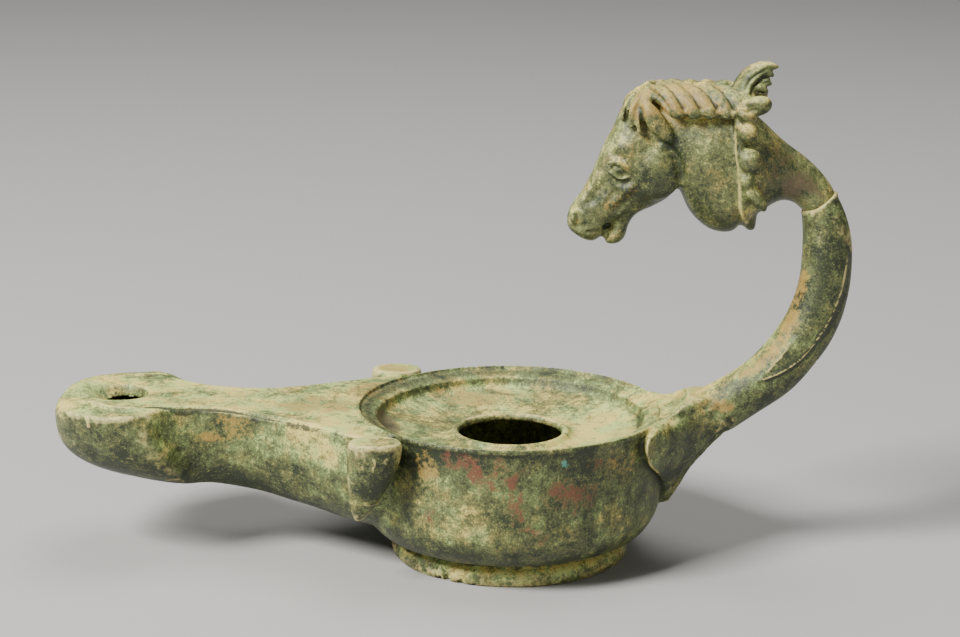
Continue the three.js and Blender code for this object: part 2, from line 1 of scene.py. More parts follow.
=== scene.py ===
"""Visual model of an ancient bronze oil lamp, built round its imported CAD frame.

Sizes are millimetres in the lamp's own frame: the origin lies on the reservoir's upright axis in the plane
of the foot, +X points to the handle, -X to the nozzle's tip and +Z up. A finished piece is then brought into
the frame's metres in one step.
"""

import logging
import math
from dataclasses import dataclass, field
from enum import Enum, IntEnum
from typing import Any, Sequence

import bpy
import numpy as np
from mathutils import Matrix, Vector

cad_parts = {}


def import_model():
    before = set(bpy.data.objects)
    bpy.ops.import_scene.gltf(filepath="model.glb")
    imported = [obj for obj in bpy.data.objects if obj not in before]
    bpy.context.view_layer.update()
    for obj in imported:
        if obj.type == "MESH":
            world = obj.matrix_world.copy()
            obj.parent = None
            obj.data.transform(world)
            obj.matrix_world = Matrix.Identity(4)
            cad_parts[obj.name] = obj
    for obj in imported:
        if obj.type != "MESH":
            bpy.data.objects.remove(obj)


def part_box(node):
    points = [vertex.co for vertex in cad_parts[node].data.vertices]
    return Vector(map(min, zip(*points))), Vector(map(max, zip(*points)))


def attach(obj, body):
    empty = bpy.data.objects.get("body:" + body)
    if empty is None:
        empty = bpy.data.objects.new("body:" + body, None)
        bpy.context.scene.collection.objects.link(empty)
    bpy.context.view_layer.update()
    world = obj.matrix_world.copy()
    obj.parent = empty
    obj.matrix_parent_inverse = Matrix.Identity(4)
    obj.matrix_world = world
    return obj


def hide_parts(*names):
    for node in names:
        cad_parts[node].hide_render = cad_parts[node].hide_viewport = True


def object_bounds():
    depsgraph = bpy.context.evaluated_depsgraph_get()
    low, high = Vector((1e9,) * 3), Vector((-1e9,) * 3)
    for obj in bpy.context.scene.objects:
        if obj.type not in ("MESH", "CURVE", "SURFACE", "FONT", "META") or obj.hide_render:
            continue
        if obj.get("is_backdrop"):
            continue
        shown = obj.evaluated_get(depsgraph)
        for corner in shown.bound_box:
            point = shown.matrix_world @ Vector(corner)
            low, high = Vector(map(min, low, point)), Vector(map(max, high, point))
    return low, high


Array = np.ndarray
Piece = bpy.types.Object
Place = tuple[float, float, float]
Path = tuple[Place, ...]
Rows = tuple[tuple[float, ...], ...]
Colour = tuple[float, float, float, float]

LOG = logging.getLogger("lamp")
MM = 0.001
# Metres between the nozzle's tip and the end of the CAD model's box
TIP_CLEARANCE = 0.00005
# Rate of the bell curve in every relief, which has half its height at one width
BELL = 0.69


class Side(IntEnum):
    """The two halves of the lamp, seen along the nozzle; the value is the sign of Y."""

    NEAR = -1
    FAR = 1


# Numbers that make shapes


def through(points: Sequence[Sequence[float]], count: int) -> Array:
    """Lays a smooth line through some points.

    Args:
        points: the points, or rows of sizes, that the line passes through.
        count: how many points the line gets.

    Returns:
        The line's points, one a row.
    """
    given = np.asarray(points, float)
    padded = np.vstack([2 * given[0] - given[1], given, 2 * given[-1] - given[-2]])
    steps = np.linspace(0, len(given) - 1, count)
    first = np.minimum(steps.astype(int), len(given) - 2)
    share = (steps - first)[:, None]
    a, b, c, d = (padded[first + k] for k in range(4))
    return 0.5 * (
        2 * b
        + (c - a) * share
        + (2 * a - 5 * b + 4 * c - d) * share**2
        + (3 * b - a - 3 * c + d) * share**3
    )


def eased(value: Array, low: float, high: float) -> Array:
    """Rises smoothly from 0 at low to 1 at high."""
    share = np.clip((value - low) / (high - low), 0, 1)
    return share * share * (3 - 2 * share)


def round_angles(sides: int) -> Array:
    """Angles of a closed ring's corners."""
    return np.arange(sides) * 2 * math.pi / sides


def signed_power(value: Array, power: float | Array) -> Array:
    """Raises the size of a value to a power and keeps its sign."""
    return np.sign(value) * np.abs(value) ** power


def oval_rings(stations: Sequence[Sequence[float]], rings: int, sides: int) -> Array:
    """Rings between a top and a bottom line in the middle plane.

    Args:
        stations: rows of top x, top z, bottom x, bottom z, half width and squareness, where 1 is round.
        rings: how many rings the loft gets.
        sides: how many corners a ring has.

    Returns:
        Ring corners as rings by sides by three.
    """
    rows = through(stations, rings)[:, :, None]
    angle = round_angles(sides)[None, :]
    top_x, top_z, low_x, low_z, half, square = (rows[:, k] for k in range(6))
    share = (1 + signed_power(np.cos(angle), square)) / 2
    across = half * signed_power(np.sin(angle), square)
    return np.stack([low_x + (top_x - low_x) * share, across, low_z + (top_z - low_z) * share], -1)


def swept_rings(rows: Array, sides: int, sideways: Place) -> Array:
    """Round rings across a path.

    Args:
        rows: rows of x, y, z, half width and half thickness.
        sides: how many corners a ring has.
        sideways: the direction in which the width lies.

    Returns:
        Ring corners as rings by sides by three.
    """
    centre = rows[:, :3]
    onward = np.gradient(centre, axis=0)
    onward /= np.linalg.norm(onward, axis=1, keepdims=True)
    wide = np.asarray(sideways, float) - onward * (onward @ np.asarray(sideways, float))[:, None]
    wide /= np.linalg.norm(wide, axis=1, keepdims=True)
    thick = np.cross(onward, wide)
    angle = round_angles(sides)
    return (
        centre[:, None, :]
        + wide[:, None, :] * (rows[:, 3, None] * np.cos(angle))[..., None]
        + thick[:, None, :] * (rows[:, 4, None] * np.sin(angle))[..., None]
    )


def mirrored(rows: Sequence[Sequence[float]], side: Side) -> list[tuple[float, ...]]:
    """Puts rows of x, distance from the middle, z and sizes on one side of the lamp."""
    return [(x, side * y, *rest) for x, y, *rest in rows]


def shifted(path: Path, x: float, y: float, z: float) -> Path:
    """Moves a path as a whole."""
    return tuple((place[0] + x, place[1] + y, place[2] + z) for place in path)


class Grain:
    """Smooth seeded noise through space."""

    CELLS = 32
    LAYERS = 3
    # How far the noise, and each of its layers from the last, is moved from the lattice's origin
    START = 101.3
    LAYER_SHIFT = 17.0

    def __init__(self, seed: int) -> None:
        """Fills a cube of cells that repeats through space."""
        self.values = np.random.default_rng(seed).uniform(-1, 1, (self.CELLS,) * 3)

    def at(self, places: Array, size: float | Sequence[float]) -> Array:
        """Noise between -1 and 1.

        Args:
            places: where it is read.
            size: how far apart its hills are, one number or one for each axis.

        Returns:
            One value for each place.
        """
        spot = places / np.asarray(size, float) + self.START
        cell = np.floor(spot).astype(int)
        part = spot - cell
        part = part * part * (3 - 2 * part)
        total = np.zeros(len(places))
        for corner in np.ndindex(2, 2, 2):
            index = (cell + corner) % self.CELLS
            weight = np.prod(np.where(corner, part, 1 - part), axis=1)
            total += weight * self.values[index[:, 0], index[:, 1], index[:, 2]]
        return total

    def rough(self, places: Array, size: float) -> Array:
        """Several sizes of the noise on top of each other, each half as large as the last."""
        return sum(
            self.at(places + self.LAYER_SHIFT * k, size / 2**k) / 2**k for k in range(self.LAYERS)
        )


# The workbench


class Bench:
    """Moves that every piece is made with, each through Blender's own operators."""

    TURN_STEPS = 160
    SMOOTHING = 0.5
    # Millimetres under which two corners count as one
    SAME_PLACE = 1e-3
    # Steps between no rounding and full rounding
    LEVELS = 10

    @staticmethod
    def clear() -> None:
        """Leaves nothing selected."""
        if bpy.context.object and bpy.context.object.mode != "OBJECT":
            bpy.ops.object.mode_set(mode="OBJECT")
        bpy.ops.object.select_all(action="DESELECT")

    @classmethod
    def pick(cls, *pieces: Piece) -> Piece:
        """Selects some pieces and makes the first the active one."""
        cls.clear()
        for piece in pieces:
            piece.select_set(True)
        bpy.context.view_layer.objects.active = pieces[0]
        return pieces[0]

    @staticmethod
    def places(piece: Piece) -> Array:
        """Every vertex's place."""
        flat = np.zeros(len(piece.data.vertices) * 3, np.float32)
        piece.data.vertices.foreach_get("co", flat)
        return flat.reshape(-1, 3).astype(float)

    @staticmethod
    def normals(piece: Piece) -> Array:
        """Every vertex's normal."""
        flat = np.zeros(len(piece.data.vertices) * 3, np.float32)
        piece.data.vertices.foreach_get("normal", flat)
        return flat.reshape(-1, 3).astype(float)

    @staticmethod
    def put(piece: Piece, places: Array) -> None:
        """Moves every vertex to its new place."""
        piece.data.vertices.foreach_set("co", places.astype(np.float32).ravel())
        piece.data.update()

    @classmethod
    def skin(cls, name: str, rings: Array) -> Piece:
        """Rolls a grid into a closed tube.

        Args:
            name: the object's name.
            rings: ring corners as rings by sides by three.

        Returns:
            The closed tube, with both ends filled.
        """
        count, sides = rings.shape[:2]
        cls.clear()
        bpy.ops.mesh.primitive_grid_add(x_subdivisions=sides, y_subdivisions=count - 1, size=1)
        piece = bpy.context.object
        piece.name = name
        cls.put(piece, np.concatenate([rings, rings[:, :1]], axis=1).reshape(-1, 3))
        cls.close(piece)
        return piece

    @classmethod
    def close(cls, piece: Piece) -> None:
        """Merges doubled corners, fills open ends and turns every face outwards."""
        cls.pick(piece)
        bpy.ops.object.mode_set(mode="EDIT")
        bpy.ops.mesh.select_all(action="SELECT")
        bpy.ops.mesh.remove_doubles(threshold=cls.SAME_PLACE)
        bpy.ops.mesh.select_all(action="SELECT")
        bpy.ops.mesh.fill_holes(sides=0)
        bpy.ops.mesh.select_all(action="SELECT")
        bpy.ops.mesh.normals_make_consistent(inside=False)
        bpy.ops.object.mode_set(mode="OBJECT")

    @classmethod
    def turned(cls, name: str, profile: Sequence[Sequence[float]]) -> Piece:
        """Spins a profile round the upright axis.

        Args:
            name: the object's name.
            profile: rows of radius and height, from the axis and back to it.

        Returns:
            The closed solid of revolution.
        """
        cls.clear()
        bpy.ops.mesh.primitive_circle_add(vertices=len(profile), fill_type="NOTHING")
        piece = bpy.context.object
        piece.name = name
        cls.put(piece, np.array([(radius, 0.0, height) for radius, height in profile]))
        ends = {0, len(profile) - 1}
        for edge in piece.data.edges:
            edge.select = set(edge.vertices) == ends
        for vertex in piece.data.vertices:
            vertex.select = False
        bpy.ops.object.mode_set(mode="EDIT")
        bpy.ops.mesh.select_mode(type="EDGE")
        bpy.ops.mesh.delete(type="EDGE")
        bpy.ops.mesh.select_mode(type="VERT")
        bpy.ops.mesh.select_all(action="SELECT")
        bpy.ops.mesh.spin(steps=cls.TURN_STEPS, angle=2 * math.pi, center=(0, 0, 0), axis=(0, 0, 1))
        bpy.ops.object.mode_set(mode="OBJECT")
        cls.close(piece)
        return piece

    @classmethod
    def blob(cls, centre: Place, radii: Place, turn: float, sides: int) -> Piece:
        """An ellipsoid of clay.

        Args:
            centre: its middle.
            radii: its half sizes before it is turned.
            turn: degrees about Y.
            sides: faces in one turn.

        Returns:
            The ellipsoid.
        """
        cls.clear()
        bpy.ops.mesh.primitive_uv_sphere_add(
            segments=sides,
            ring_count=sides // 2,
            location=centre,
            rotation=(0, math.radians(turn), 0),
            scale=radii,
        )
        bpy.ops.object.transform_apply(location=True, rotation=True, scale=True)
        return bpy.context.object

    @classmethod
    def apply(cls, piece: Piece, kind: str, **settings: Any) -> None:
        """Adds a modifier with its settings and applies it."""
        cls.pick(piece)
        modifier = piece.modifiers.new(kind.title(), kind)
        for name, value in settings.items():
            setattr(modifier, name, value)
        bpy.ops.object.modifier_apply(modifier=modifier.name)

    @classmethod
    def fuse(cls, name: str, parts: Sequence[Piece], voxel: float) -> Piece:
        """Casts overlapping parts as one skin of even faces."""
        whole = cls.pick(*parts)
        if len(parts) > 1:
            bpy.ops.object.join()
        whole.name = name
        cls.apply(whole, "REMESH", mode="VOXEL", voxel_size=voxel, adaptivity=0.0)
        return whole

    @classmethod
    def cut(cls, piece: Piece, cutter: Piece) -> None:
        """Takes a cutter's space out of a piece and throws the cutter away."""
        cls.apply(piece, "BOOLEAN", operation="DIFFERENCE", object=cutter, solver="MANIFOLD")
        bpy.data.objects.remove(cutter)

    @classmethod
    def soften(cls, piece: Piece, rounds: int) -> None:
        """Rounds a piece all over."""
        cls.apply(piece, "SMOOTH", factor=cls.SMOOTHING, iterations=rounds)

    @classmethod
    def soften_where(cls, piece: Piece, weight: Array, rounds: int) -> None:
        """Rounds a piece where a weight is above zero, by as much as the weight says."""
        group = piece.vertex_groups.new(name="soft")
        levels = np.round(np.clip(weight, 0, 1) * cls.LEVELS).astype(int)
        for level in range(1, cls.LEVELS + 1):
            group.add(np.flatnonzero(levels == level).tolist(), level / cls.LEVELS, "REPLACE")
        cls.apply(piece, "SMOOTH", factor=cls.SMOOTHING, iterations=rounds, vertex_group="soft")
        piece.vertex_groups.remove(piece.vertex_groups["soft"])

    @classmethod
    def thin(cls, piece: Piece, triangles: int, fine: Array) -> None:
        """Brings a piece down to so many triangles, where it is flattest first.

        Args:
            piece: the piece to thin.
            triangles: how many triangles may stay.
            fine: true for the vertices that are left as they are.
        """
        now = sum(len(face.vertices) - 2 for face in piece.data.polygons)
        if now > triangles:
            group = piece.vertex_groups.new(name="coarse")
            group.add(np.flatnonzero(~fine).tolist(), 1.0, "REPLACE")
            cls.apply(piece, "DECIMATE", ratio=triangles / now, vertex_group="coarse")
            piece.vertex_groups.remove(piece.vertex_groups["coarse"])

    @classmethod
    def note(cls, piece: Piece, name: str, values: Array) -> None:
        """Writes a number on every vertex, for the finish to read."""
        attribute = piece.data.attributes.new(name, "FLOAT", "POINT")
        attribute.data.foreach_set("value", values.astype(np.float32))


# Relief


# The long leaf along the arm, seen from the near side
ARM_RIDGE: Path = (
    (58, -5.6, 44.7), (61.5, -5.8, 46.2), (65, -6, 48), (69.5, -6, 51.8), (74.4, -5.8, 59.2),
    (77.3, -5.2, 66.5), (78.4, -4.6, 72.6), (78.6, -4, 77),
)
ARM_RIDGE_INNER: Path = ((59.2, -5.8, 45.6), (61.4, -6, 48), (64.8, -6, 52.4), (67.4, -6, 56.2))
# The raised line along the nozzle's top, x and distance from the middle
NOZZLE_RIDGE: Rows = (
    (-104, 8.4), (-99, 11.2), (-94, 14.2), (-89, 15), (-84, 13.6), (-79, 11.8), (-74, 10.3), (-69, 10.2),
    (-64, 10.9), (-59, 12.5), (-54, 14.5), (-49, 17), (-44, 19.8), (-39, 23.2),
)
# The root leaf's double keel
LEAF_KEEL: Path = (
    (38.8, -2, 16.4), (41.1, -2.2, 19.4), (45.7, -2.6, 25.3), (49.4, -2.8, 29.6), (52.2, -3, 33.2),
)
# A runnel of corrosion that hangs from the nozzle's lip
NOZZLE_DRIP: Path = ((-99.3, -17.4, 37), (-98.8, -18.2, 35.4), (-98.6, -18.4, 33.6))
# The wavy middle vein of a lug
LUG_VEIN: Path = (
    (-30.6, -37.2, 34), (-29.6, -37.2, 32.2), (-30.2, -37.2, 30.4), (-29.2, -37.2, 28.6),
    (-29.8, -37.2, 26.4), (-29.5, -37.2, 24.4), (-30.4, -37.2, 22.6),
)
# How much a distance along X, Y and Z counts for a line that is seen from the side or from above
SIDE_ON: Place = (1, 0.3, 1)
FROM_ABOVE: Place = (1, 1, 0.3)


def arc(radius: float, height: float, start: float, end: float, count: int = 24) -> Path:
    """Points round the reservoir's axis, between two angles in degrees from the handle's side."""
    return tuple(
        (radius * math.cos(angle), radius * math.sin(angle), height)
        for angle in np.radians(np.linspace(start, end, count))
    )


def near_side(places: Array, both: bool) -> Array:
    """Folds the far half onto the near one, for a relief that both halves carry."""
    return np.column_stack([places[:, 0], -np.abs(places[:, 1]), places[:, 2]]) if both else places


@dataclass(frozen=True)
class Stroke:
    """A raised or sunk line along a path on the surface.

    A positive height stands proud and a negative one is sunk. The width is the half width at half height,
    and the line fades out towards its ends over the share that taper gives. The counts say how much a
    distance along each axis tells, so that a line need not lie on the surface exactly. With both, the line
    is on the far half too.
    """

    # Points on the smooth line for each one given, and the widths beyond which it lifts nothing
    STEPS = 12
    FAR_WIDTHS = 3

    path: Path
    height: float
    width: float
    taper: float = 0.25
    both: bool = True
    counts: Place = SIDE_ON

    def lift(self, places: Array) -> Array:
        """How far this line lifts each place."""
        line = through(self.path, self.STEPS * len(self.path))
        spots = near_side(places, self.both)
        reach = self.FAR_WIDTHS * self.width / np.asarray(self.counts)
        near = np.all((spots > line.min(0) - reach) & (spots < line.max(0) + reach), axis=1)
        picked = np.flatnonzero(near)
        lift = np.zeros(len(places))
        if not len(picked):
            return lift
        gaps = np.full(len(picked), np.inf)
        share = np.zeros(len(picked))
        for k, spot in enumerate(line):
            gap = np.linalg.norm((spots[picked] - spot) * self.counts, axis=1)
            closer = gap < gaps
            gaps[closer] = gap[closer]
            share[closer] = k / (len(line) - 1)
        ends = np.minimum(share, 1 - share)
        fade = eased(ends, -0.02, max(self.taper, 0.01))
        lift[picked] = self.height * fade * np.exp(-BELL * (gaps / self.width) ** 2)
        return lift


@dataclass(frozen=True)
class Swell:
    """A soft hill or, with a negative height, a hollow."""

    centre: Place
    radii: Place
    height: float
    both: bool = True

    def lift(self, places: Array) -> Array:
        """How far this hill lifts each place."""
        gap = np.linalg.norm((near_side(places, self.both) - self.centre) / self.radii, axis=1)
        return self.height * np.exp(-BELL * gap**2)


def carve(piece: Piece, features: Sequence[Stroke | Swell]) -> None:
    """Presses a set of lines and hills into a piece's skin."""
    places = Bench.places(piece)
    lift = sum(feature.lift(places) for feature in features)
    Bench.put(piece, places + Bench.normals(piece) * lift[:, None])


def along(piece: Piece, lines: Sequence[Stroke]) -> Array:
    """Which vertices of a piece lie on or beside some lines, where these lift by a tenth or more."""
    places = Bench.places(piece)
    return sum((np.abs(line.lift(places)) for line in lines), np.zeros(len(places))) > 0.1


def pitted(piece: Piece, grain: Grain, dents: float, pits: float, size: float) -> None:
    """Gives a skin the slight waves and pits of an old casting.

    Args:
        piece: the piece to work on.
        grain: the noise that places them.
        dents: depth of the waves.
        pits: depth of the pits.
        size: spacing of the pits.
    """
    places = Bench.places(piece)
    waves = grain.rough(places, size * 5) * dents
    spread = eased(grain.at(places + 50, size * 6), -0.3, 0.5)
    holes = -pits * eased(grain.at(places, size), 0.52, 0.85) * spread
    Bench.put(piece, places + Bench.normals(piece) * (waves + holes)[:, None])


def hollowness(piece: Piece, rounds: int) -> Array:
    """How deep each vertex lies in a crease, in millimetres; ridges and edges are negative.

    Args:
        piece: the piece to measure.
        rounds: how wide a neighbourhood is looked at.

    Returns:
        One value for each vertex.
    """
    places, normals = Bench.places(piece), Bench.normals(piece)
    edges = np.zeros(len(piece.data.edges) * 2, np.int32)
    piece.data.edges.foreach_get("vertices", edges)
    ends = np.concatenate([edges.reshape(-1, 2), edges.reshape(-1, 2)[:, ::-1]])
    count = np.bincount(ends[:, 0], minlength=len(places)).clip(1)
    smooth = places.copy()
    for _ in range(rounds):
        for axis in range(3):
            smooth[:, axis] = np.bincount(ends[:, 0], smooth[ends[:, 1], axis], len(places)) / count
    return ((smooth - places) * normals).sum(1)


# The lamp's own casting


@dataclass
class Reservoir:
    """The round oil chamber with its ring foot, dished disc and filling hole."""

    # Profiles as rows of radius and height
    foot: Rows = (
        (0, 2.2), (22.4, 2.2), (24.2, 1.4), (25.2, 0.2), (25.6, 0), (28, 0), (28.5, 0.4), (28.75, 1.6),
        (28.5, 2.9), (27.8, 3.8), (26.8, 4.3), (26.2, 4.8), (26.5, 5.2),
    )
    belly: Rows = (
        (26.8, 5.4), (28.6, 5.55), (31.2, 6.3), (33.5, 8.2), (35.3, 11), (36.2, 14), (36.4, 18),
        (36.2, 23), (36, 28), (36, 31.5), (36.2, 33.8),
    )
    rim: Rows = (
        (36.5, 34.6), (36.9, 35.1), (37, 35.6), (36.9, 36), (36.6, 36.25), (0, 36.25),
    )
    dish: Rows = (
        (0, 26.5), (12.3, 26.5), (12.3, 29.4), (12.6, 30.1), (13.3, 30.45), (14, 30.2), (14.5, 29.6),
        (15, 29.3), (17, 29.3), (21, 29.6), (25, 30.2), (28.5, 31), (30.6, 31.7), (31.5, 32.3),
        (31.9, 33.2), (32.1, 34), (32.5, 34.35), (33.2, 34.5), (35.2, 35.3), (35.9, 35.55), (36.1, 35.8),
        (36.4, 36.3), (37.6, 36.42), (39, 37), (40.4, 38), (42, 39.6), (44, 46), (0, 46),
    )
    inside: Rows = (
        (0, 4.4), (24.3, 4.4), (27.5, 6.2), (31, 8.8), (33.3, 11.8), (34.3, 15), (34.4, 20),
        (34, 25), (33.6, 29), (32, 30), (28, 29), (24, 28.2), (16, 27.6), (13.4, 28.3),
        (12.4, 28.7), (12.2, 30), (0, 30),
    )

    def block(self) -> Piece:
        """The chamber's outside, still full."""
        belly = [tuple(row) for row in through(self.belly, 60)]
        return Bench.turned("reservoir", [*self.foot, *belly, *self.rim])

    def dish_cutter(self) -> Piece:
        """The space above the disc, with the mouth of the filling hole."""
        return Bench.turned("dish", self.dish)

    def oil_cutter(self) -> Piece:
        """The oil space."""
        return Bench.turned("oil", self.inside)


@dataclass
class Nozzle:
    """The long nozzle with its flared, rounded end and wick hole."""

    reach: float = 110.0
    end_radius: float = 20.3
    wall: float = 2.2
    # How much thicker the wall is above the rounded end
    bulb_cover: float = 1.2
    # How much lower the oil way's top lies under the disc
    disc_dip: float = 7.0
    # x and half width of the top
    plan: Rows = (
        (-109.9, 3), (-109.2, 7.6), (-107.6, 11.9), (-105, 15.4), (-101, 18.3), (-96.5, 20),
        (-92, 20.5), (-88.4, 20.2), (-85.8, 18.6), (-83.8, 16.2), (-81.4, 13.6), (-78.6, 11.9),
        (-75, 11), (-70, 11), (-64.5, 11.8), (-59, 13.3), (-53.5, 15.4), (-48, 18),
        (-42, 21.6), (-36.5, 25), (-32, 27), (-28, 26.5), (-24, 23),
    )
    # x and height of the keel
    keel: Rows = (
        (-109.6, 32.6), (-109.5, 29.5), (-108.2, 26.3), (-105.4, 23.3), (-101, 20.9), (-95.5, 19.3),
        (-89, 18.2), (-82, 17.1), (-75, 16.2), (-68, 15.2), (-61, 14), (-54, 12.6),
        (-47, 11.2), (-40, 9.6), (-33, 8.6), (-26, 8.2), (-20, 8.2),
    )
    # x, half length, half width and height of the wick hole, from the lip down
    wick: Rows = (
        (-94.9, 9.4, 8.8, 39.2), (-94.8, 7.6, 7.1, 37.9), (-94.6, 6.5, 6.2, 37.3), (-94.1, 5.8, 5.8, 36.4),
        (-93.4, 5.2, 5.5, 35.5), (-93.1, 4.9, 5.3, 34.4), (-93, 4.8, 5.2, 31.5), (-93, 4.8, 5.2, 28),
    )

    def top(self, x: Array) -> Array:
        """Height of the flat top at some places along the nozzle."""
        return np.interp(
            x,
            [-110, -109.4, -108.4, -106.8, -104, -85, -74, -69, -59, -37],
            [35.0, 36.2, 37.0, 37.6, 38.0, 37.7, 37.0, 36.6, 35.9, 35.7],
        )

    def shoulder(self, x: Array) -> Array:
        """How far the top rounds down to its edges."""
        return 0.3 + 1.1 * (1 - eased(x, -96, -84))

    def stations(self) -> Array:
        """Rows of top x, half width, keel x, keel height and fullness, from the tip to the reservoir."""
        plan = through(self.plan, 90)
        share = np.linspace(0, 1, len(plan))
        lean = 9.7 * eased(plan[:, 0], -110.2, -97) * (1 - eased(plan[:, 0], -74, -50))
        keel_x = plan[:, 0] + lean
        keel = through(self.keel, 120)
        keel_z = np.interp(keel_x, keel[:, 0], keel[:, 1])
        full = np.interp(share, [0, 0.35, 0.45, 0.6, 1], [0.72, 0.72, 0.86, 0.8, 0.66])
        return np.column_stack([plan, keel_x, keel_z, full])

    def rings(self, shrink: float = 0.0, lower: float = 0.0) -> Array:
        """The hull's sections, with an arc below and a flat top.

        Args:
            shrink: how far the sections lie inside the hull.
            lower: how much lower the top lies where the nozzle passes under the disc.

        Returns:
            Ring corners as rings by sides by three.
        """
        rows = self.stations()
        if shrink:
            rows = rows[rows[:, 1] > self.end_radius / 2]
        x, half, keel_x, keel_z, full = (rows[:, k, None] for k in range(5))
        under_disc = eased(x, -53, -34)
        over_bulb = self.bulb_cover * bool(shrink) * (1 - eased(x, -86, -80))
        top = self.top(x) - shrink - lower * under_disc - over_bulb
        half = (half - shrink) * (1 - 0.45 * under_disc * bool(shrink))
        angle = np.linspace(0, math.pi, 41)[None, :]
        depth = np.sin(angle) ** full
        across = signed_power(np.cos(angle), full)
        edge = top - self.shoulder(x)
        hull = np.stack(
            [x + (keel_x - x) * depth, half * across, edge + (keel_z + shrink - edge) * depth], -1
        )
        shares = np.linspace(-1, 1, 31)[None, 1:-1]
        flat = np.stack([x + 0 * shares, half * shares, top - self.shoulder(x) * shares**6], -1)
        return np.concatenate([hull, flat], axis=1)

    def block(self) -> Piece:
        """The nozzle's outside, still full."""
        return Bench.skin("nozzle", self.rings())

    def oil_cutter(self) -> Piece:
        """The oil way, which dips under the disc."""
        return Bench.skin("oil_way", self.rings(self.wall, self.disc_dip))

    def wick_cutter(self) -> Piece:
        """The wick hole, dished at its lip and steeper on the side of the handle."""
        angle = round_angles(48)
        x, long, wide, z = (column[:, None] for column in np.array(self.wick).T)
        rings = np.stack([x + long * np.cos(angle), wide * np.sin(angle), z + 0 * angle], -1)
        return Bench.skin("wick_hole", rings)

    def relief(self) -> list[Stroke | Swell]:
        """The raised edges of the channel, the crease behind the wing and small flaws."""
        ridge = tuple((x, -y, float(self.top(x))) for x, y in NOZZLE_RIDGE)
        wing = ((-101.5, -17.4, 37), (-96, -19.6, 36.9), (-90, -20.1, 36.9), (-87, -19.4, 36.9))
        crease = ((-84.6, -18.6, 35.2), (-82.6, -17.6, 32.6), (-81.2, -16.4, 30.6), (-79.6, -14.6, 28.6),
                  (-77.6, -13.6, 27), (-75, -12.2, 25.4))
        return [
            Stroke(ridge[:6], 0.6, 0.7, 0.2, counts=FROM_ABOVE),
            Stroke(shifted(ridge[:5], 0, -1.6, 0), -0.4, 1.1, 0.2, counts=FROM_ABOVE),
            Stroke(ridge[3:], -0.55, 0.5, 0.1, counts=FROM_ABOVE),
            Stroke(shifted(ridge[3:], 0, 1.3, 0), 0.3, 0.6, 0.1, counts=FROM_ABOVE),
            Stroke(wing, 0.35, 0.5, 0.3, counts=FROM_ABOVE),
            Stroke(crease, -1.0, 1.5, 0.3),
            Stroke(shifted(crease, -2.6, -1.0, 0.6), 0.5, 1.6, 0.3),
            Swell((-96.5, 0, 37), (10.5, 8.6, 4), -0.55),
            Swell((-78, 0, 37), (7, 6, 4), -0.3),
            Swell((-83.5, -13, 22.5), (0.9, 0.9, 0.9), -0.8, False),
            Swell((-66.5, -11, 20.5), (1, 0.8, 0.8), -0.8, False),
            Swell((-98.5, -16.6, 26.5), (2.2, 2, 1.6), -0.5, False),
            Stroke(NOZZLE_DRIP, 0.4, 0.5, 0.2, False),
        ]


@dataclass
class Lug:
    """A bud-shaped lug in the corner between nozzle and reservoir."""

    side: Side
    centre: tuple[float, float] = (-29.9, 32)
    radii: tuple[float, float] = (6.3, 4.9)
    top: float = 36.2
    length: float = 20.6
    lean: tuple[float, float] = (-4.4, -3.2)
    # Share of the length and swell
    outline: Rows = (
        (-0.012, 0.2), (-0.01, 0.7), (0, 0.92), (0.03, 1), (0.08, 1.01), (0.2, 0.99), (0.35, 0.92),
        (0.5, 0.8), (0.62, 0.66), (0.68, 0.58), (0.705, 0.52), (0.72, 0.55), (0.745, 0.58), (0.77, 0.52),
        (0.8, 0.45), (0.86, 0.38), (0.93, 0.25), (1, 0.08),
    )

    def block(self) -> Piece:
        """The bud, with its flat top and the ring above its pointed tip."""
        rows = through(self.outline, 60)
        down, swell = rows[:, 0, None], rows[:, 1, None]
        angle = round_angles(40)[None, :]
        lean = np.clip(down, 0, 1) ** 1.5
        x = self.centre[0] + self.lean[0] * lean + self.radii[0] * swell * np.cos(angle)
        y = self.centre[1] + self.lean[1] * lean + self.radii[1] * swell * np.sin(angle)
        z = self.top - self.length * down + 0 * angle
        return Bench.skin("lug", np.stack([x, self.side.value * y, z], -1))

    def relief(self) -> list[Stroke | Swell]:
        """Veins and ribs on both buds, and the dished top."""
        veins = [
            LUG_VEIN,
            ((-26.3, -36, 33.6), (-27.2, -36.5, 31.2), (-28.9, -37, 29.3)),
            ((-34.6, -36, 30.6), (-34.4, -36.2, 26.5), (-34, -36.4, 24)),
        ]
        ribs = [
            ((-35.2 + 1.7 * k, -36.0 - 0.3 * k, 20.4), (-34.9 + 0.5 * k, -35.4, 16.4)) for k in range(4)
        ]
        return [
            *[Stroke(vein, 0.4, 0.36, 0.15) for vein in veins],
            *[Stroke(rib, 0.35, 0.35, 0.2) for rib in ribs],
            Swell((-29.9, -32, 36.3), (4.6, 3.6, 3), -0.4),
            Swell((-27.2, -36, 29), (0.5, 0.8, 1.1), -0.6, False),
            Swell((-26.2, -36, 32), (0.5, 0.8, 0.9), -0.5, False),
            Swell((-34.9, -35, 29), (0.6, 0.8, 1.2), -0.6, False),
        ]


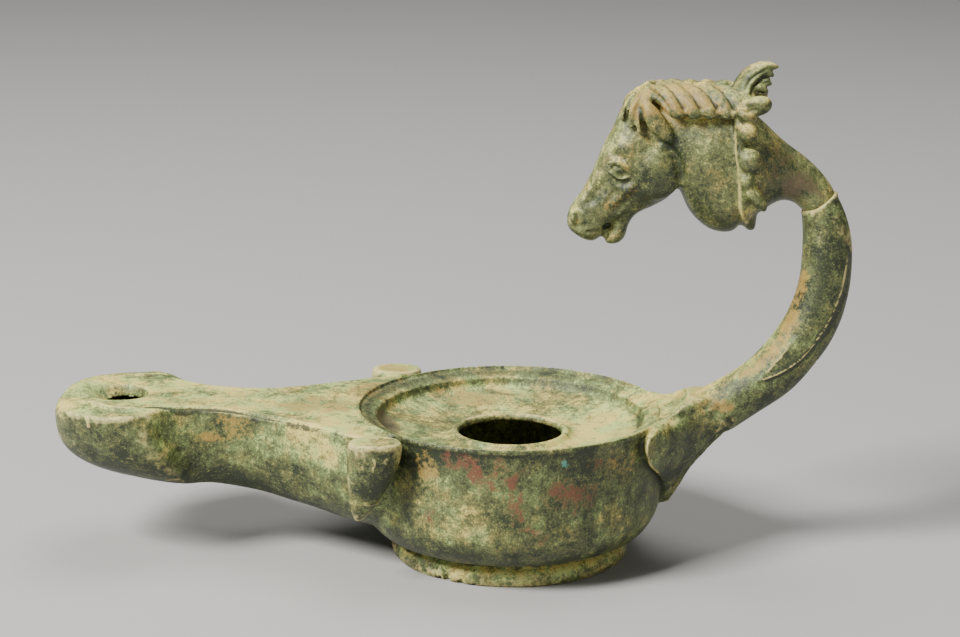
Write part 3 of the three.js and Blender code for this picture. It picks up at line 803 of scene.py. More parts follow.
@dataclass
class HandleArm:
    """The arm, from its broad strap on the rim to the seam under the horse's neck."""

    # x, z and radius along the tube
    line: Rows = (
        (44.6, 34.4, 5.7), (48.7, 35.9, 6.2), (52.6, 38.3, 5.95), (55.7, 40.5, 5.75), (59, 42.8, 5.8),
        (62.3, 45.3, 6.15), (64.9, 48.4, 6.15), (67.1, 51.5, 6.1), (69.5, 54.6, 6.3), (71.2, 58.1, 6.3),
        (72.6, 61.8, 6.2), (73.8, 66.2, 6.1), (74.2, 70.3, 6), (74.4, 73.7, 6), (74.15, 78.1, 5.8),
        (73.7, 81.4, 5.5), (73, 84.5, 5), (71.95, 87, 4.6),
    )
    # The seam's x and z, and the way on from it to the neck
    seam: tuple[float, float] = (72, 87.2)
    seam_way: Place = (-0.61, 0, 0.79)
    seam_radius: float = 4.7
    # The arm's width, as a share of its thickness
    narrow: float = 0.97
    # x, z of the middle, half thickness, half width and squareness of the strap
    strap: Rows = (
        (27, 33.4, 1.6, 21, 0.8), (31, 33.8, 1.7, 19.4, 0.8), (34, 34, 1.75, 16.2, 0.8),
        (36.6, 34.1, 1.95, 13.2, 0.8), (38.6, 34.5, 2.6, 10.8, 0.8), (41.2, 35, 3.6, 8.3, 0.9),
        (44.6, 35.5, 4.8, 6.6, 1), (48.7, 36.2, 6, 6.1, 1), (52.6, 38.3, 5.9, 5.8, 1),
    )
    # Height, the keel's x, the margin's x and y, and how full the section is
    leaf: Rows = (
        (12.6, 38.4, 36.8, 0.6, 1.2), (15.5, 40.2, 37.2, 2.8, 1.15), (17.8, 41.5, 37.2, 4.9, 1.1),
        (21.2, 43.5, 36.6, 9.4, 1.05), (24.5, 46.1, 35.2, 14.6, 1), (27.4, 48.7, 33.6, 18.8, 0.95),
        (30.2, 51.3, 32.8, 20.9, 0.9), (32.6, 53.8, 32.6, 21.5, 0.86), (34.2, 55, 33, 20.8, 0.84),
        (35.4, 55.4, 34.4, 17.6, 0.84), (36.6, 55.4, 36.5, 12, 0.9), (38.2, 54.8, 39, 8.6, 1.2),
        (39.6, 53.2, 42, 6.4, 1.6), (40.6, 51.4, 44.5, 5, 1.8),
    )

    def tube(self) -> Piece:
        """The round arm up to the seam, along an evenly rounded line."""
        rows = through(self.line, 120)
        for _ in range(60):
            rows[1:-1] = (rows[:-2] + 2 * rows[1:-1] + rows[2:]) / 4
        x, z, radius = rows.T
        path = np.column_stack([x, np.zeros(len(rows)), z, radius * self.narrow, radius])
        return Bench.skin("arm", swept_rings(path, 48, (0, 1, 0)))

    def root(self) -> Piece:
        """The strap that fans out over the rim."""
        rows = through(self.strap, 60)
        angle = round_angles(56)[None, :]
        x, z, thick, half, square = (rows[:, k, None] for k in range(5))
        pitch = np.gradient(rows[:, 1]) / np.gradient(rows[:, 0])
        up = signed_power(np.cos(angle), square) * thick
        across = signed_power(np.sin(angle), square) * half
        tilt = np.arctan(pitch)[:, None]
        return Bench.skin("strap", np.stack([x - up * np.sin(tilt), across, z + up * np.cos(tilt)], -1))

    def root_leaf(self) -> Piece:
        """The leaf that clasps the root and hangs down the reservoir's wall."""
        rows = through(self.leaf, 70)
        z, keel, margin_x, margin_y, full = (rows[:, k, None] for k in range(5))
        angle = np.linspace(-math.pi / 2, math.pi / 2, 49)[None, :]
        across = signed_power(np.sin(angle), 2 / full)
        out = signed_power(np.cos(angle), 2 / full)
        front = np.stack([margin_x + (keel - margin_x) * out, margin_y * across, z + 0 * across], -1)
        back = np.stack([margin_x - 3.5, 0.5 * margin_y, z], -1)
        return Bench.skin("root_leaf", np.concatenate([front, back, back * (1, -1, 1)], axis=1))

    def relief(self) -> list[Stroke | Swell]:
        """The long leaf along the arm, and the root leaf's margin, heel and keel."""
        margin = ((32.9, -17, 33.4), (33.7, -15, 36), (36.5, -8.6, 35.6), (39.8, -8, 36.5),
                  (44.1, -5.5, 37.4), (48.1, -5.5, 38.9))
        heel = ((49, -5, 39), (51.7, -5, 35.6), (52.7, -4.6, 33.6))
        return [
            Stroke(ARM_RIDGE, 0.34, 0.34, 0.1),
            Stroke(shifted(ARM_RIDGE, 0.9, 0, -0.8), -0.25, 0.7, 0.1),
            Stroke(ARM_RIDGE_INNER, 0.26, 0.36, 0.2),
            Stroke(shifted(margin, 0.6, 0, -0.9), 0.2, 0.6, 0.1),
            Stroke(heel, -0.5, 0.45, 0.1),
            Stroke(LEAF_KEEL, -0.8, 0.5, 0.1),
            Stroke(shifted(LEAF_KEEL, -1.4, -1.0, 1.2), 0.35, 0.6, 0.15),
        ]


@dataclass
class LampBody:
    """The lamp's own casting: reservoir, nozzle, lugs, root leaf and handle arm."""

    reservoir: Reservoir = field(default_factory=Reservoir)
    nozzle: Nozzle = field(default_factory=Nozzle)
    arm: HandleArm = field(default_factory=HandleArm)
    # Lines of the finish, beside which the skin keeps its fine faces
    lines: Sequence[Stroke] = ()
    voxel: float = 0.42
    triangles: int = 196000
    fillet_rounds: int = 24

    def seam_bead(self) -> Piece:
        """The low ring at the arm's upper end."""
        direction = np.array(self.arm.seam_way)
        middle = np.array([self.arm.seam[0], 0, self.arm.seam[1]])
        rows = []
        for offset, swell in (
            (-1.4, 0.9), (-0.8, 0.99), (-0.5, 1.03), (-0.2, 1.04), (0.05, 1), (0.1, 0.9),
        ):
            radius = self.arm.seam_radius * swell
            rows.append([*(middle + direction * offset), radius * self.arm.narrow, radius])
        return Bench.skin("seam_bead", swept_rings(np.array(rows), 48, (0, 1, 0)))

    def build(self) -> Piece:
        """Casts the parts as one, hollows them and works the skin.

        Returns:
            The finished body, in the lamp's own millimetres.
        """
        lugs = [Lug(side) for side in Side]
        body = Bench.fuse(
            "lamp",
            [
                self.reservoir.block(),
                self.nozzle.block(),
                *[lug.block() for lug in lugs],
                self.arm.root(),
                self.arm.tube(),
                self.arm.root_leaf(),
                self.seam_bead(),
            ],
            self.voxel,
        )
        places = Bench.places(body)
        Bench.soften_where(body, self.fillets(places), self.fillet_rounds)
        for cutter in (
            self.reservoir.dish_cutter(),
            self.reservoir.oil_cutter(),
            self.nozzle.oil_cutter(),
            self.nozzle.wick_cutter(),
        ):
            Bench.cut(body, cutter)
        body = Bench.fuse("lamp", [body], self.voxel)
        Bench.soften(body, 1)
        carve(body, [*self.nozzle.relief(), *lugs[0].relief(), *self.arm.relief(), *self.rim_relief()])
        pitted(body, Grain(11), dents=0.05, pits=0.22, size=1.5)
        self.chip_foot(body)
        Bench.thin(body, self.triangles, along(body, self.lines))
        return body

    @staticmethod
    def fillets(places: Array) -> Array:
        """Where the parts run softly into each other."""
        x, y, z = places.T
        strap = eased(x, 34, 38) * (1 - eased(x, 46, 52)) * eased(z, 30, 33)
        root = (1 - eased(x, -28, -22)) * eased(x, -52, -46)
        keel = root * (1 - eased(z, 20, 26)) * (1 - eased(abs(y), 23, 28))
        bulb = (1 - eased(x, -90, -84)) * eased(np.hypot(x + 90, y), 12, 16)
        return np.maximum(np.maximum(strap * 0.6, keel), bulb)

    @staticmethod
    def rim_relief() -> list[Stroke]:
        """The fine line round the rim band, which fades towards the handle."""
        return [Stroke(arc(36.0, 35.7, 28, 332, 40), -0.28, 0.35, 0.05, False)]

    @staticmethod
    def chip_foot(body: Piece) -> None:
        """Eats away the foot's lower edge where it is chipped, at the front on the nozzle's side."""
        places = Bench.places(body)
        grain = Grain(23)
        spot = np.array([-15.0, -24.0, 0.6])
        near = np.exp(-((np.linalg.norm((places - spot) / (8, 5, 2.6), axis=1)) ** 2))
        bite = near * eased(grain.rough(places, 1.7), -0.1, 0.7) * 1.5
        Bench.put(body, places - Bench.normals(body) * bite[:, None])


# The horse's head


LOCKS = 5
LOCK_START = 30.6
LOCK_STEP = 3.85


def lock_roots() -> list[float]:
    """Where each lock of the mane leaves the crest, along X."""
    return [LOCK_START + LOCK_STEP * k for k in range(LOCKS)]


def lock_lines(shift: float, height: float, width: float) -> list[Stroke]:
    """One line down each lock of the mane, or beside it.

    Args:
        shift: how far beside the lock's middle it lies.
        height: the line's height, negative for a groove.
        width: the line's half width.

    Returns:
        The lines, one for each lock.
    """
    fall = (
        (1.6, -3, 115), (3, -5, 114.4), (4.9, -7.4, 113), (6.4, -9, 111.2), (7.3, -9.6, 109.8),
    )
    return [
        Stroke(
            tuple((root + shift + step, y, z) for step, y, z in fall),
            height, width, 0.2, counts=(1, 0.7, 1),
        )
        for root in lock_roots()
    ]


@dataclass
class Finial:
    """The handle's upper end: stem, calyx, neck and horse's head."""

    # Lines of the finish, beside which the skin keeps its fine faces
    lines: Sequence[Stroke] = ()
    voxel: float = 0.3
    coarse_voxel: float = 0.5
    triangles: int = 196000
    # Rounds of softening after the large forms, the hair and leaves, and the small forms
    rounds: tuple[int, int, int] = (14, 4, 2)
    # Loft stations, as oval_rings takes them
    stem: Rows = (
        (75.6, 89.5, 69, 84.4, 4.5, 1), (75.2, 90.3, 68.5, 85.1, 4.5, 1), (74.4, 91.8, 67.4, 86, 4.7, 1),
        (71.6, 95.2, 65.9, 87.3, 5, 1), (67.8, 98.5, 63.4, 87.9, 5.8, 1), (64.4, 100.9, 61.3, 87.2, 6.8, 1),
        (61.6, 103.2, 59.4, 85.9, 8, 1), (58.6, 106, 57.2, 84.4, 9.2, 1), (55, 109, 54, 83.2, 9.8, 1),
        (52, 110.5, 52, 83, 9.6, 1),
    )
    neck: Rows = (
        (54.2, 111, 54, 82.6, 9, 1), (50.5, 112.4, 51.4, 80.1, 9.4, 0.95),
        (46.5, 112.6, 46.5, 80.6, 9.2, 0.95), (42.5, 112.5, 41.9, 84.4, 8.5, 0.95),
        (38.8, 112.3, 39.3, 89.6, 7.6, 1), (34.5, 111.6, 37.6, 93.9, 6.8, 1),
        (30, 110.2, 34, 97.9, 5.2, 1),
    )
    skull: Rows = (
        (29.5, 112.4, 38, 100.6, 4.2, 1), (25.4, 109.6, 39, 95.4, 6, 0.95),
        (23.2, 104.6, 38.6, 91.2, 6.9, 0.9), (21.3, 100.9, 36.6, 88.2, 7, 0.9),
        (19.7, 96.9, 33.4, 86.2, 6.4, 0.9), (18.1, 92.9, 30.1, 84.6, 5.4, 0.9),
        (15.9, 88.9, 27.4, 83.2, 4.7, 0.9), (13.7, 85.7, 24.1, 81.7, 4.4, 0.9),
        (12.65, 82.7, 21.9, 79.6, 4.4, 0.9), (13.2, 80.1, 20.2, 77.7, 3.8, 1),
        (15.6, 78.4, 18.7, 77, 2.2, 1),
    )
    jaw: Rows = (
        (31, 90.4, 32.5, 85.7, 4.6, 1), (27.4, 86.6, 29.1, 84, 4, 1), (24.4, 82.8, 27.4, 81.5, 3.4, 1),
        (23, 80, 26.9, 79.4, 3.1, 1), (21.6, 77.9, 26.3, 77.8, 2.8, 1), (22, 76.5, 24.8, 76.6, 1.8, 1),
    )
    mouth: Rows = (
        (22.6, 82.2, 22.9, 80.9, 8, 1), (21.9, 80.9, 22.3, 79.8, 8, 1), (21.2, 79.2, 21.4, 78.6, 8, 1),
        (20.4, 76.6, 21.3, 76.2, 8, 1),
    )
    crest: Rows = (
        (30.6, 112.4, 32, 106, 2.6, 1), (35, 113.2, 36, 106.6, 5.2, 1),
        (41, 113.4, 42, 106.8, 6.6, 1), (47, 113.4, 48, 106.8, 7.4, 1),
        (51.6, 112.4, 52.4, 106.8, 7.2, 1),
    )
    flange: Rows = (
        (53, 112.4, 55.8, 83.6, 10.2, 0.95), (51.8, 114.6, 54.8, 81.6, 11.5, 0.95),
        (50.7, 114.6, 54, 81.6, 11.6, 0.95), (50.3, 113, 53.4, 83, 10.6, 0.95),
    )
    tall_leaf: Rows = (
        (50.6, 109.5, 57.4, 109, 8.4, 1), (50.5, 112.4, 57.9, 111.4, 7.6, 1),
        (50.7, 114.4, 56.9, 113.3, 6.6, 1), (51.5, 116.3, 57, 114.8, 5.6, 1),
        (52.8, 118.1, 57.9, 116, 4.7, 1), (54.6, 119.5, 58.9, 117.2, 3.8, 1),
        (56.6, 120.3, 59.6, 118.1, 2.8, 1), (58.5, 120.45, 60.3, 118.6, 1.8, 1),
        (60.3, 120.1, 61, 118.8, 1, 1), (61.5, 119.2, 61.6, 118.7, 0.4, 1),
    )
    low_leaf: Rows = (
        (53.2, 89, 57.2, 88.6, 4.4, 1), (53, 85.4, 57.4, 85.2, 3.8, 1),
        (54, 82.2, 57.3, 82.2, 2.6, 1), (55.3, 80.4, 56.9, 80.5, 1.1, 1),
    )
    # Paths as rows of x, distance from the middle, z, half width and half thickness
    # A lock's x is counted from its root
    lock: Rows = (
        (0, 0.5, 112.9, 2, 1.9), (2.4, 3.6, 113.5, 2.3, 2), (4.9, 6.4, 112.3, 2.3, 1.9),
        (6.7, 8, 110.6, 2.2, 1.7), (7.7, 8.6, 109.4, 2, 1.4), (8.3, 8.4, 108.6, 1.2, 0.8),
    )
    forelock: tuple[Rows, ...] = (
        ((31.2, 0.8, 112.9, 1.7, 1.5), (28.6, 2.2, 112.2, 1.4, 1.3),
         (26.3, 3.4, 110.2, 1.1, 1), (25.2, 4.5, 107, 0.7, 0.7)),
        ((31.8, 1.8, 113.2, 1.7, 1.5), (29.4, 4.2, 112, 1.4, 1.2),
         (27.5, 5.7, 109.3, 1.1, 0.9), (27.3, 6.3, 105.4, 0.7, 0.7)),
        ((33, 2.8, 113.2, 1.7, 1.5), (30.8, 5.6, 111.6, 1.3, 1.2),
         (29.3, 6.8, 108.2, 1, 0.9), (29.3, 7, 104.2, 0.6, 0.6)),
    )
    ear: Rows = (
        (30.6, 6.6, 110.9, 1.3, 1.2), (31.8, 7.2, 108.9, 2.1, 1.6), (33.4, 7.4, 106.6, 2.3, 1.7),
        (35.2, 7.2, 104.4, 1.9, 1.5), (36.9, 6.8, 102.4, 1, 1),
    )
    lids: tuple[Rows, ...] = (
        ((21.8, 6, 96.6, 0.4, 0.5), (23.3, 6.9, 97.4, 0.45, 0.6),
         (25.6, 7.2, 96.6, 0.5, 0.6), (27.6, 6.9, 94.6, 0.3, 0.4)),
        ((22, 6.1, 95.4, 0.3, 0.3), (23.6, 6.7, 93.9, 0.35, 0.4),
         (25.6, 7, 93.3, 0.35, 0.4), (27.2, 6.8, 93.9, 0.25, 0.3)),
    )
    # Lumps as centre, radii and degrees about Y
    cheeks: tuple[tuple[Place, Place, float], ...] = (
        ((33.4, 4.7, 95), (6.2, 3.2, 6.9), 0),
        ((27.4, 4.4, 99.4), (4.4, 2.4, 3), 30),
    )
    lobes: tuple[tuple[Place, Place, float], ...] = (
        ((56.4, 8, 111.3), (3.3, 3, 2.3), -14),
        ((53.6, 9.4, 109.2), (2.8, 2.6, 1.5), 30),
        ((54, 10.4, 105.4), (2.5, 2.4, 2.3), 0),
        ((54.8, 10.8, 98.9), (2.9, 2.5, 2.9), 0),
        ((54.2, 10.4, 94.4), (1.8, 2.1, 2.2), 30),
        ((56.2, 9.7, 90.4), (1.7, 2.2, 4.4), -38),
        ((59, 1.6, 117.9), (1.6, 1, 0.7), 30),
        ((58.2, 2.6, 116.2), (1.9, 1.2, 0.8), 30),
        ((57.3, 3.6, 114.6), (2, 1.4, 0.9), 30),
    )
    eyeball: tuple[Place, Place, float] = ((24.7, 5.6, 95.4), (1.8, 1.7, 1.4), 20)
    nostril: tuple[Place, Place, float] = ((15.2, 3.6, 83.2), (2.5, 1.4, 1.7), 60)

    @staticmethod
    def lump(centre: Place, radii: Place, turn: float, side: Side, sides: int = 24) -> Piece:
        """A lump of clay on one side of the head."""
        x, y, z = centre
        return Bench.blob((x, side * y, z), radii, turn, sides)

    def big_forms(self) -> list[Piece]:
        """Stem, neck, skull, cheeks and jaw."""
        forms = [
            Bench.skin(name, oval_rings(stations, rings, 64))
            for name, stations, rings in (
                ("stem", self.stem, 60),
                ("neck", self.neck, 60),
                ("skull", self.skull, 90),
                ("jaw", self.jaw, 40),
            )
        ]
        return forms + [self.lump(*cheek, side, 32) for side in Side for cheek in self.cheeks]

    def locks(self) -> list[Piece]:
        """The mane's locks, which fall from the crest down both sides of the neck."""
        made = []
        for side in Side:
            for root in lock_roots():
                path = [(root + x, *rest) for x, *rest in mirrored(self.lock, side)]
                made.append(Bench.skin("lock", swept_rings(through(path, 24), 24, (1, 0, 0.3))))
            for strand in self.forelock:
                path = mirrored(strand, side)
                made.append(Bench.skin("forelock", swept_rings(through(path, 20), 16, (0.7, 0, 0.7))))
        made.append(Bench.skin("crest", oval_rings(self.crest, 40, 40)))
        return made

    def calyx(self) -> list[Piece]:
        """The flange at the base of the neck, its curled lobes and the two leaves."""
        made = [
            Bench.skin("flange", oval_rings(self.flange, 16, 96)),
            Bench.skin("tall_leaf", oval_rings(self.tall_leaf, 50, 40)),
            Bench.skin("low_leaf", oval_rings(self.low_leaf, 24, 32)),
        ]
        return made + [self.lump(*lobe, side) for side in Side for lobe in self.lobes]

    def small_forms(self) -> list[Piece]:
        """Ears, eyeballs, lids and nostrils."""
        made = []
        for side in Side:
            ear = through(mirrored(self.ear, side), 30)
            made.append(Bench.skin("ear", swept_rings(ear, 24, (0.75, 0, 0.65))))
            made.append(self.lump(*self.eyeball, side))
            for lid in self.lids:
                path = through(mirrored(lid, side), 16)
                made.append(Bench.skin("lid", swept_rings(path, 12, (1, 0, 0))))
            made.append(self.lump(*self.nostril, side))
        return made

    def relief(self) -> list[Stroke | Swell]:
        """Folds of the face, grooves of the mane and the leaves' ribs, given on the near side."""
        made: list[Stroke | Swell] = [
            # Nostril, eye sockets and the dark slit before the ear
            Swell((15.3, -4.6, 82.6), (0.9, 1.2, 1.7), -1.3),
            Stroke(((29.2, -7, 111), (29.8, -7.4, 107.6), (30.8, -7.6, 103.8)), -0.7, 0.4, 0.15),
            Stroke(((21.6, -6.2, 94.6), (23.6, -6.9, 92.9), (26.4, -7, 92.6), (28.6, -6.8, 93.6)),
                   -0.45, 0.8, 0.3),
            Stroke(((22.2, -5.6, 98.6), (24.2, -6.6, 98.9), (26.8, -6.9, 97.6)), -0.4, 0.7, 0.3),
            # Strands of the forelock
            Stroke(((28.4, -2.6, 113.4), (26.6, -4.4, 111), (26, -5.4, 107)), -0.6, 0.35, 0.2),
            Stroke(((30.2, -4, 113), (28.6, -5.8, 110.2), (28.2, -6.6, 105.8)), -0.6, 0.35, 0.2),
            Stroke(((27.2, -1.6, 113.6), (25.4, -3.2, 111), (24.8, -4.4, 107.6)), -0.4, 0.3, 0.2),
            # Nasal bone, facial crest and cheek muscles
            Stroke(((20.4, -5.4, 95.6), (18.4, -4.6, 91.6), (16.6, -4.2, 88), (15, -3.8, 85.2)),
                   0.5, 0.6, 0.3),
            Stroke(((21.8, -6, 93.6), (19.6, -5.2, 89.6), (17.8, -4.7, 86)), -0.7, 0.8, 0.3),
            Stroke(((31.4, -7.2, 95.4), (27.6, -6.8, 91.4), (24.2, -5.9, 88), (21.2, -4.9, 84.8)),
                   0.6, 0.8, 0.4),
            Stroke(((29.6, -6.9, 90.8), (26.4, -6.2, 88), (23.4, -5.2, 84.8)), -0.4, 0.6, 0.4),
            Stroke(((27.6, -6.2, 86.6), (25.4, -5.2, 85), (24, -4.6, 82.8)), 0.4, 0.5, 0.3),
            Stroke(((23.4, -6.2, 91.6), (22, -5.6, 88.6), (20.6, -5.2, 86.2)), 0.35, 0.45, 0.3),
            Stroke(((17.6, -4.6, 82.8), (17, -4.4, 80.6), (18.4, -4, 79)), -0.35, 0.5, 0.3),
            Stroke(((39.4, -6.6, 92), (38.9, -7, 96.2), (37.4, -7.2, 99.6), (35, -7.6, 102)),
                   -0.9, 0.9, 0.2),
            Stroke(((35, -7.6, 101.8), (32, -8, 103), (30.8, -7.8, 104.2)), -0.7, 0.6, 0.2),
            Swell((31.6, -7.2, 93), (1.8, 1.6, 1.6), -0.35),
            Swell((35, -7.2, 91.4), (1.6, 1.6, 2.2), -0.35),
            Swell((23.2, -5.6, 90), (1.4, 1.4, 1.2), -0.4),
            Swell((26, -5.8, 91.2), (1.3, 1.3, 1), 0.35),
            Swell((22.4, -2.6, 80.9), (0.75, 3.2, 0.75), -1.2),
            # Chin fold
            Stroke(((25.6, -3, 83.2), (26, -3, 80.4)), -0.3, 0.5, 0.3),
        ]
        for shift, depth, width in ((-1.95, -0.8, 0.36), (-0.6, -0.3, 0.25), (0.7, -0.3, 0.25)):
            made.extend(lock_lines(shift, depth, width))
        made += [
            Swell((33.2, 0, 114.9), (0.9, 4, 1.6), -0.9),
            Swell((42.6, 0, 115.6), (0.9, 3, 1.6), -0.8),
        ]
        # Ribs of the lobes, then folds of the two leaves
        for x, z, reach in ((55.6, 112.2, 2.6), (53.6, 106.4, 2), (54.4, 100.6, 2.4), (53.8, 95.4, 1.8)):
            for first, middle, last, height in ((-0.6, 0.2, -0.8, 0.35), (-2, -1.4, -2.2, -0.4)):
                rib = ((x - reach, -10.0, z + first), (x, -10.0, z + middle), (x + reach, -9.0, z + last))
                made.append(Stroke(rib, height, 0.4, 0.2))
        made += [
            Stroke(((53, -6, 110), (53.2, -5, 112.8), (53.8, -4.6, 115.6), (55.6, -3.6, 117.7),
                    (59.4, -1.6, 119.4)), -0.6, 0.35, 0.15),
            Stroke(((54.9, -6, 110.6), (54.8, -5.4, 112.8), (55.2, -4.6, 114.9), (57.2, -3.2, 116.8),
                    (59.2, -1.6, 117.6)), -0.6, 0.35, 0.15),
            Stroke(((52.4, -9, 111.6), (55.4, -9, 112.2), (58.2, -8, 111.8)), 0.35, 0.45, 0.2),
            Stroke(((53.6, -11.2, 93.6), (55.2, -11, 90.8), (57.6, -10, 88.2)), 0.45, 0.5, 0.2),
            Stroke(((54.9, -4.2, 87.6), (56, -3.6, 83.4)), 0.35, 0.6, 0.3),
        ]
        return made

    def build(self) -> Piece:
        """Models the head from its large forms to its small ones.

        Returns:
            The finished finial, in the lamp's own millimetres.
        """
        head = Bench.fuse("horse_finial", self.big_forms(), self.coarse_voxel)
        Bench.soften(head, self.rounds[0])
        head = Bench.fuse("horse_finial", [head, *self.locks(), *self.calyx()], self.voxel)
        Bench.soften(head, self.rounds[1])
        head = Bench.fuse("horse_finial", [head, *self.small_forms()], self.voxel)
        Bench.soften(head, self.rounds[2])
        for side in Side:
            mouth = oval_rings(self.mouth, 24, 24)
            mouth[..., 1] = side * (5.0 + 0.55 * mouth[..., 1])
            Bench.cut(head, Bench.skin("mouth", mouth))
        head = Bench.fuse("horse_finial", [head], self.voxel)
        carve(head, self.relief())
        pitted(head, Grain(31), dents=0.03, pits=0.12, size=1.2)
        Bench.thin(head, self.triangles, along(head, self.lines))
        return head


# Finishes


class Wire:
    """A shader socket that takes Python's operators and adds a Math node for each."""

    def __init__(self, graph: "Graph", socket: bpy.types.NodeSocket) -> None:
        """Holds an output socket and the graph that it is in."""
        self.graph = graph
        self.socket = socket

    def _maths(self, operation: str, first: Any, second: Any) -> "Wire":
        """Adds a Math node for two wires or numbers."""
        return self.graph.add("ShaderNodeMath", {"operation": operation}, {0: first, 1: second})

    def __add__(self, other: Any) -> "Wire":
        """This wire and the other."""
        return self._maths("ADD", self, other)

    def __radd__(self, other: Any) -> "Wire":
        """The other and this wire."""
        return self._maths("ADD", other, self)

    def __sub__(self, other: Any) -> "Wire":
        """This wire less the other."""
        return self._maths("SUBTRACT", self, other)

    def __rsub__(self, other: Any) -> "Wire":
        """The other less this wire."""
        return self._maths("SUBTRACT", other, self)

    def __mul__(self, other: Any) -> "Wire":
        """This wire times the other."""
        return self._maths("MULTIPLY", self, other)

    def __rmul__(self, other: Any) -> "Wire":
        """The other times this wire."""
        return self._maths("MULTIPLY", other, self)

    def step(self, low: float, high: float) -> "Wire":
        """Rises smoothly from 0 at low to 1 at high."""
        return self.graph.add(
            "ShaderNodeMapRange",
            {"interpolation_type": "SMOOTHSTEP"},
            {"Value": self, "From Min": low, "From Max": high},
        )


class Graph:
    """The nodes of one finish."""

    def __init__(self, name: str) -> None:
        """Starts an empty material of that name."""
        self.material = bpy.data.materials.new(name)
        self.material.use_nodes = True
        self.tree = self.material.node_tree
        self.tree.nodes.clear()

    def add(
        self,
        kind: str,
        settings: dict[str, Any] | None = None,
        inputs: dict[str | int, Any] | None = None,
        output: str | int = 0,
    ) -> Wire:
        """Adds a node.

        Args:
            kind: Blender's name of the node type.
            settings: the node's own settings, which are made first.
            inputs: values or wires for its sockets, by name or number.
            output: the socket that is handed on.

        Returns:
            The output as a wire.
        """
        node = self.tree.nodes.new(kind)
        for name, value in (settings or {}).items():
            setattr(node, name, value)
        for key, value in (inputs or {}).items():
            if isinstance(value, Wire):
                self.tree.links.new(value.socket, node.inputs[key])
            else:
                node.inputs[key].default_value = value
        return Wire(self, node.outputs[output])

    def surface(self, shader: Wire) -> None:
        """Hands the finished shader to the material."""
        output = self.tree.nodes.new("ShaderNodeOutputMaterial")
        self.tree.links.new(shader.socket, output.inputs["Surface"])

    def noise(self, size: float, detail: float, roughness: float, shift: float = 0.0) -> Wire:
        """Noise through space.

        Args:
            size: how many millimetres its hills lie apart.
            detail: how many finer layers it has.
            roughness: how strong these are.
            shift: metres by which it is moved, so that no two noises go together.

        Returns:
            The noise, between 0 and 1.
        """
        places = self.add("ShaderNodeTexCoord", output="Object")
        location = (shift, shift * 1.7, shift * 0.6)
        moved = self.add("ShaderNodeMapping", {}, {"Vector": places, "Location": location})
        return self.add(
            "ShaderNodeTexNoise",
            {},
            {"Vector": moved, "Scale": 1 / (size * MM), "Detail": detail, "Roughness": roughness},
        )

    def note(self, tone: "Tone") -> Wire:
        """How much of a tone was noted on the vertices."""
        return self.add("ShaderNodeAttribute", {"attribute_name": tone.value}, output="Fac")

    def blend(self, share: Wire | float, first: Any, second: Any) -> Wire:
        """Passes from one colour to another."""
        return self.add(
            "ShaderNodeMix", {"data_type": "RGBA"}, {0: share, 6: first, 7: second}, output=2
        )


class Tone(Enum):
    """What the patina shows in a place, or the light and shade painted there; the value is the note's name
    on the vertices.
    """

    # Painted light on faces that look up and a painted sheen, and paler patina
    PALE = "pale"
    # Painted shade on faces that look down and in shaded places, and some darker places
    UNDER = "under"
    # Rubbed edges, and painted highlights along ridges
    WORN = "worn"
    TAN = "tan"
    BROWN = "brown"
    OCHRE = "ochre"
    CUPRITE = "cuprite"
    VERDIGRIS = "verdigris"
    # Mostly painted shade in grooves, sockets and on shaded sides, and some dark patina
    DARK = "dark"
    CREASE = "crease"


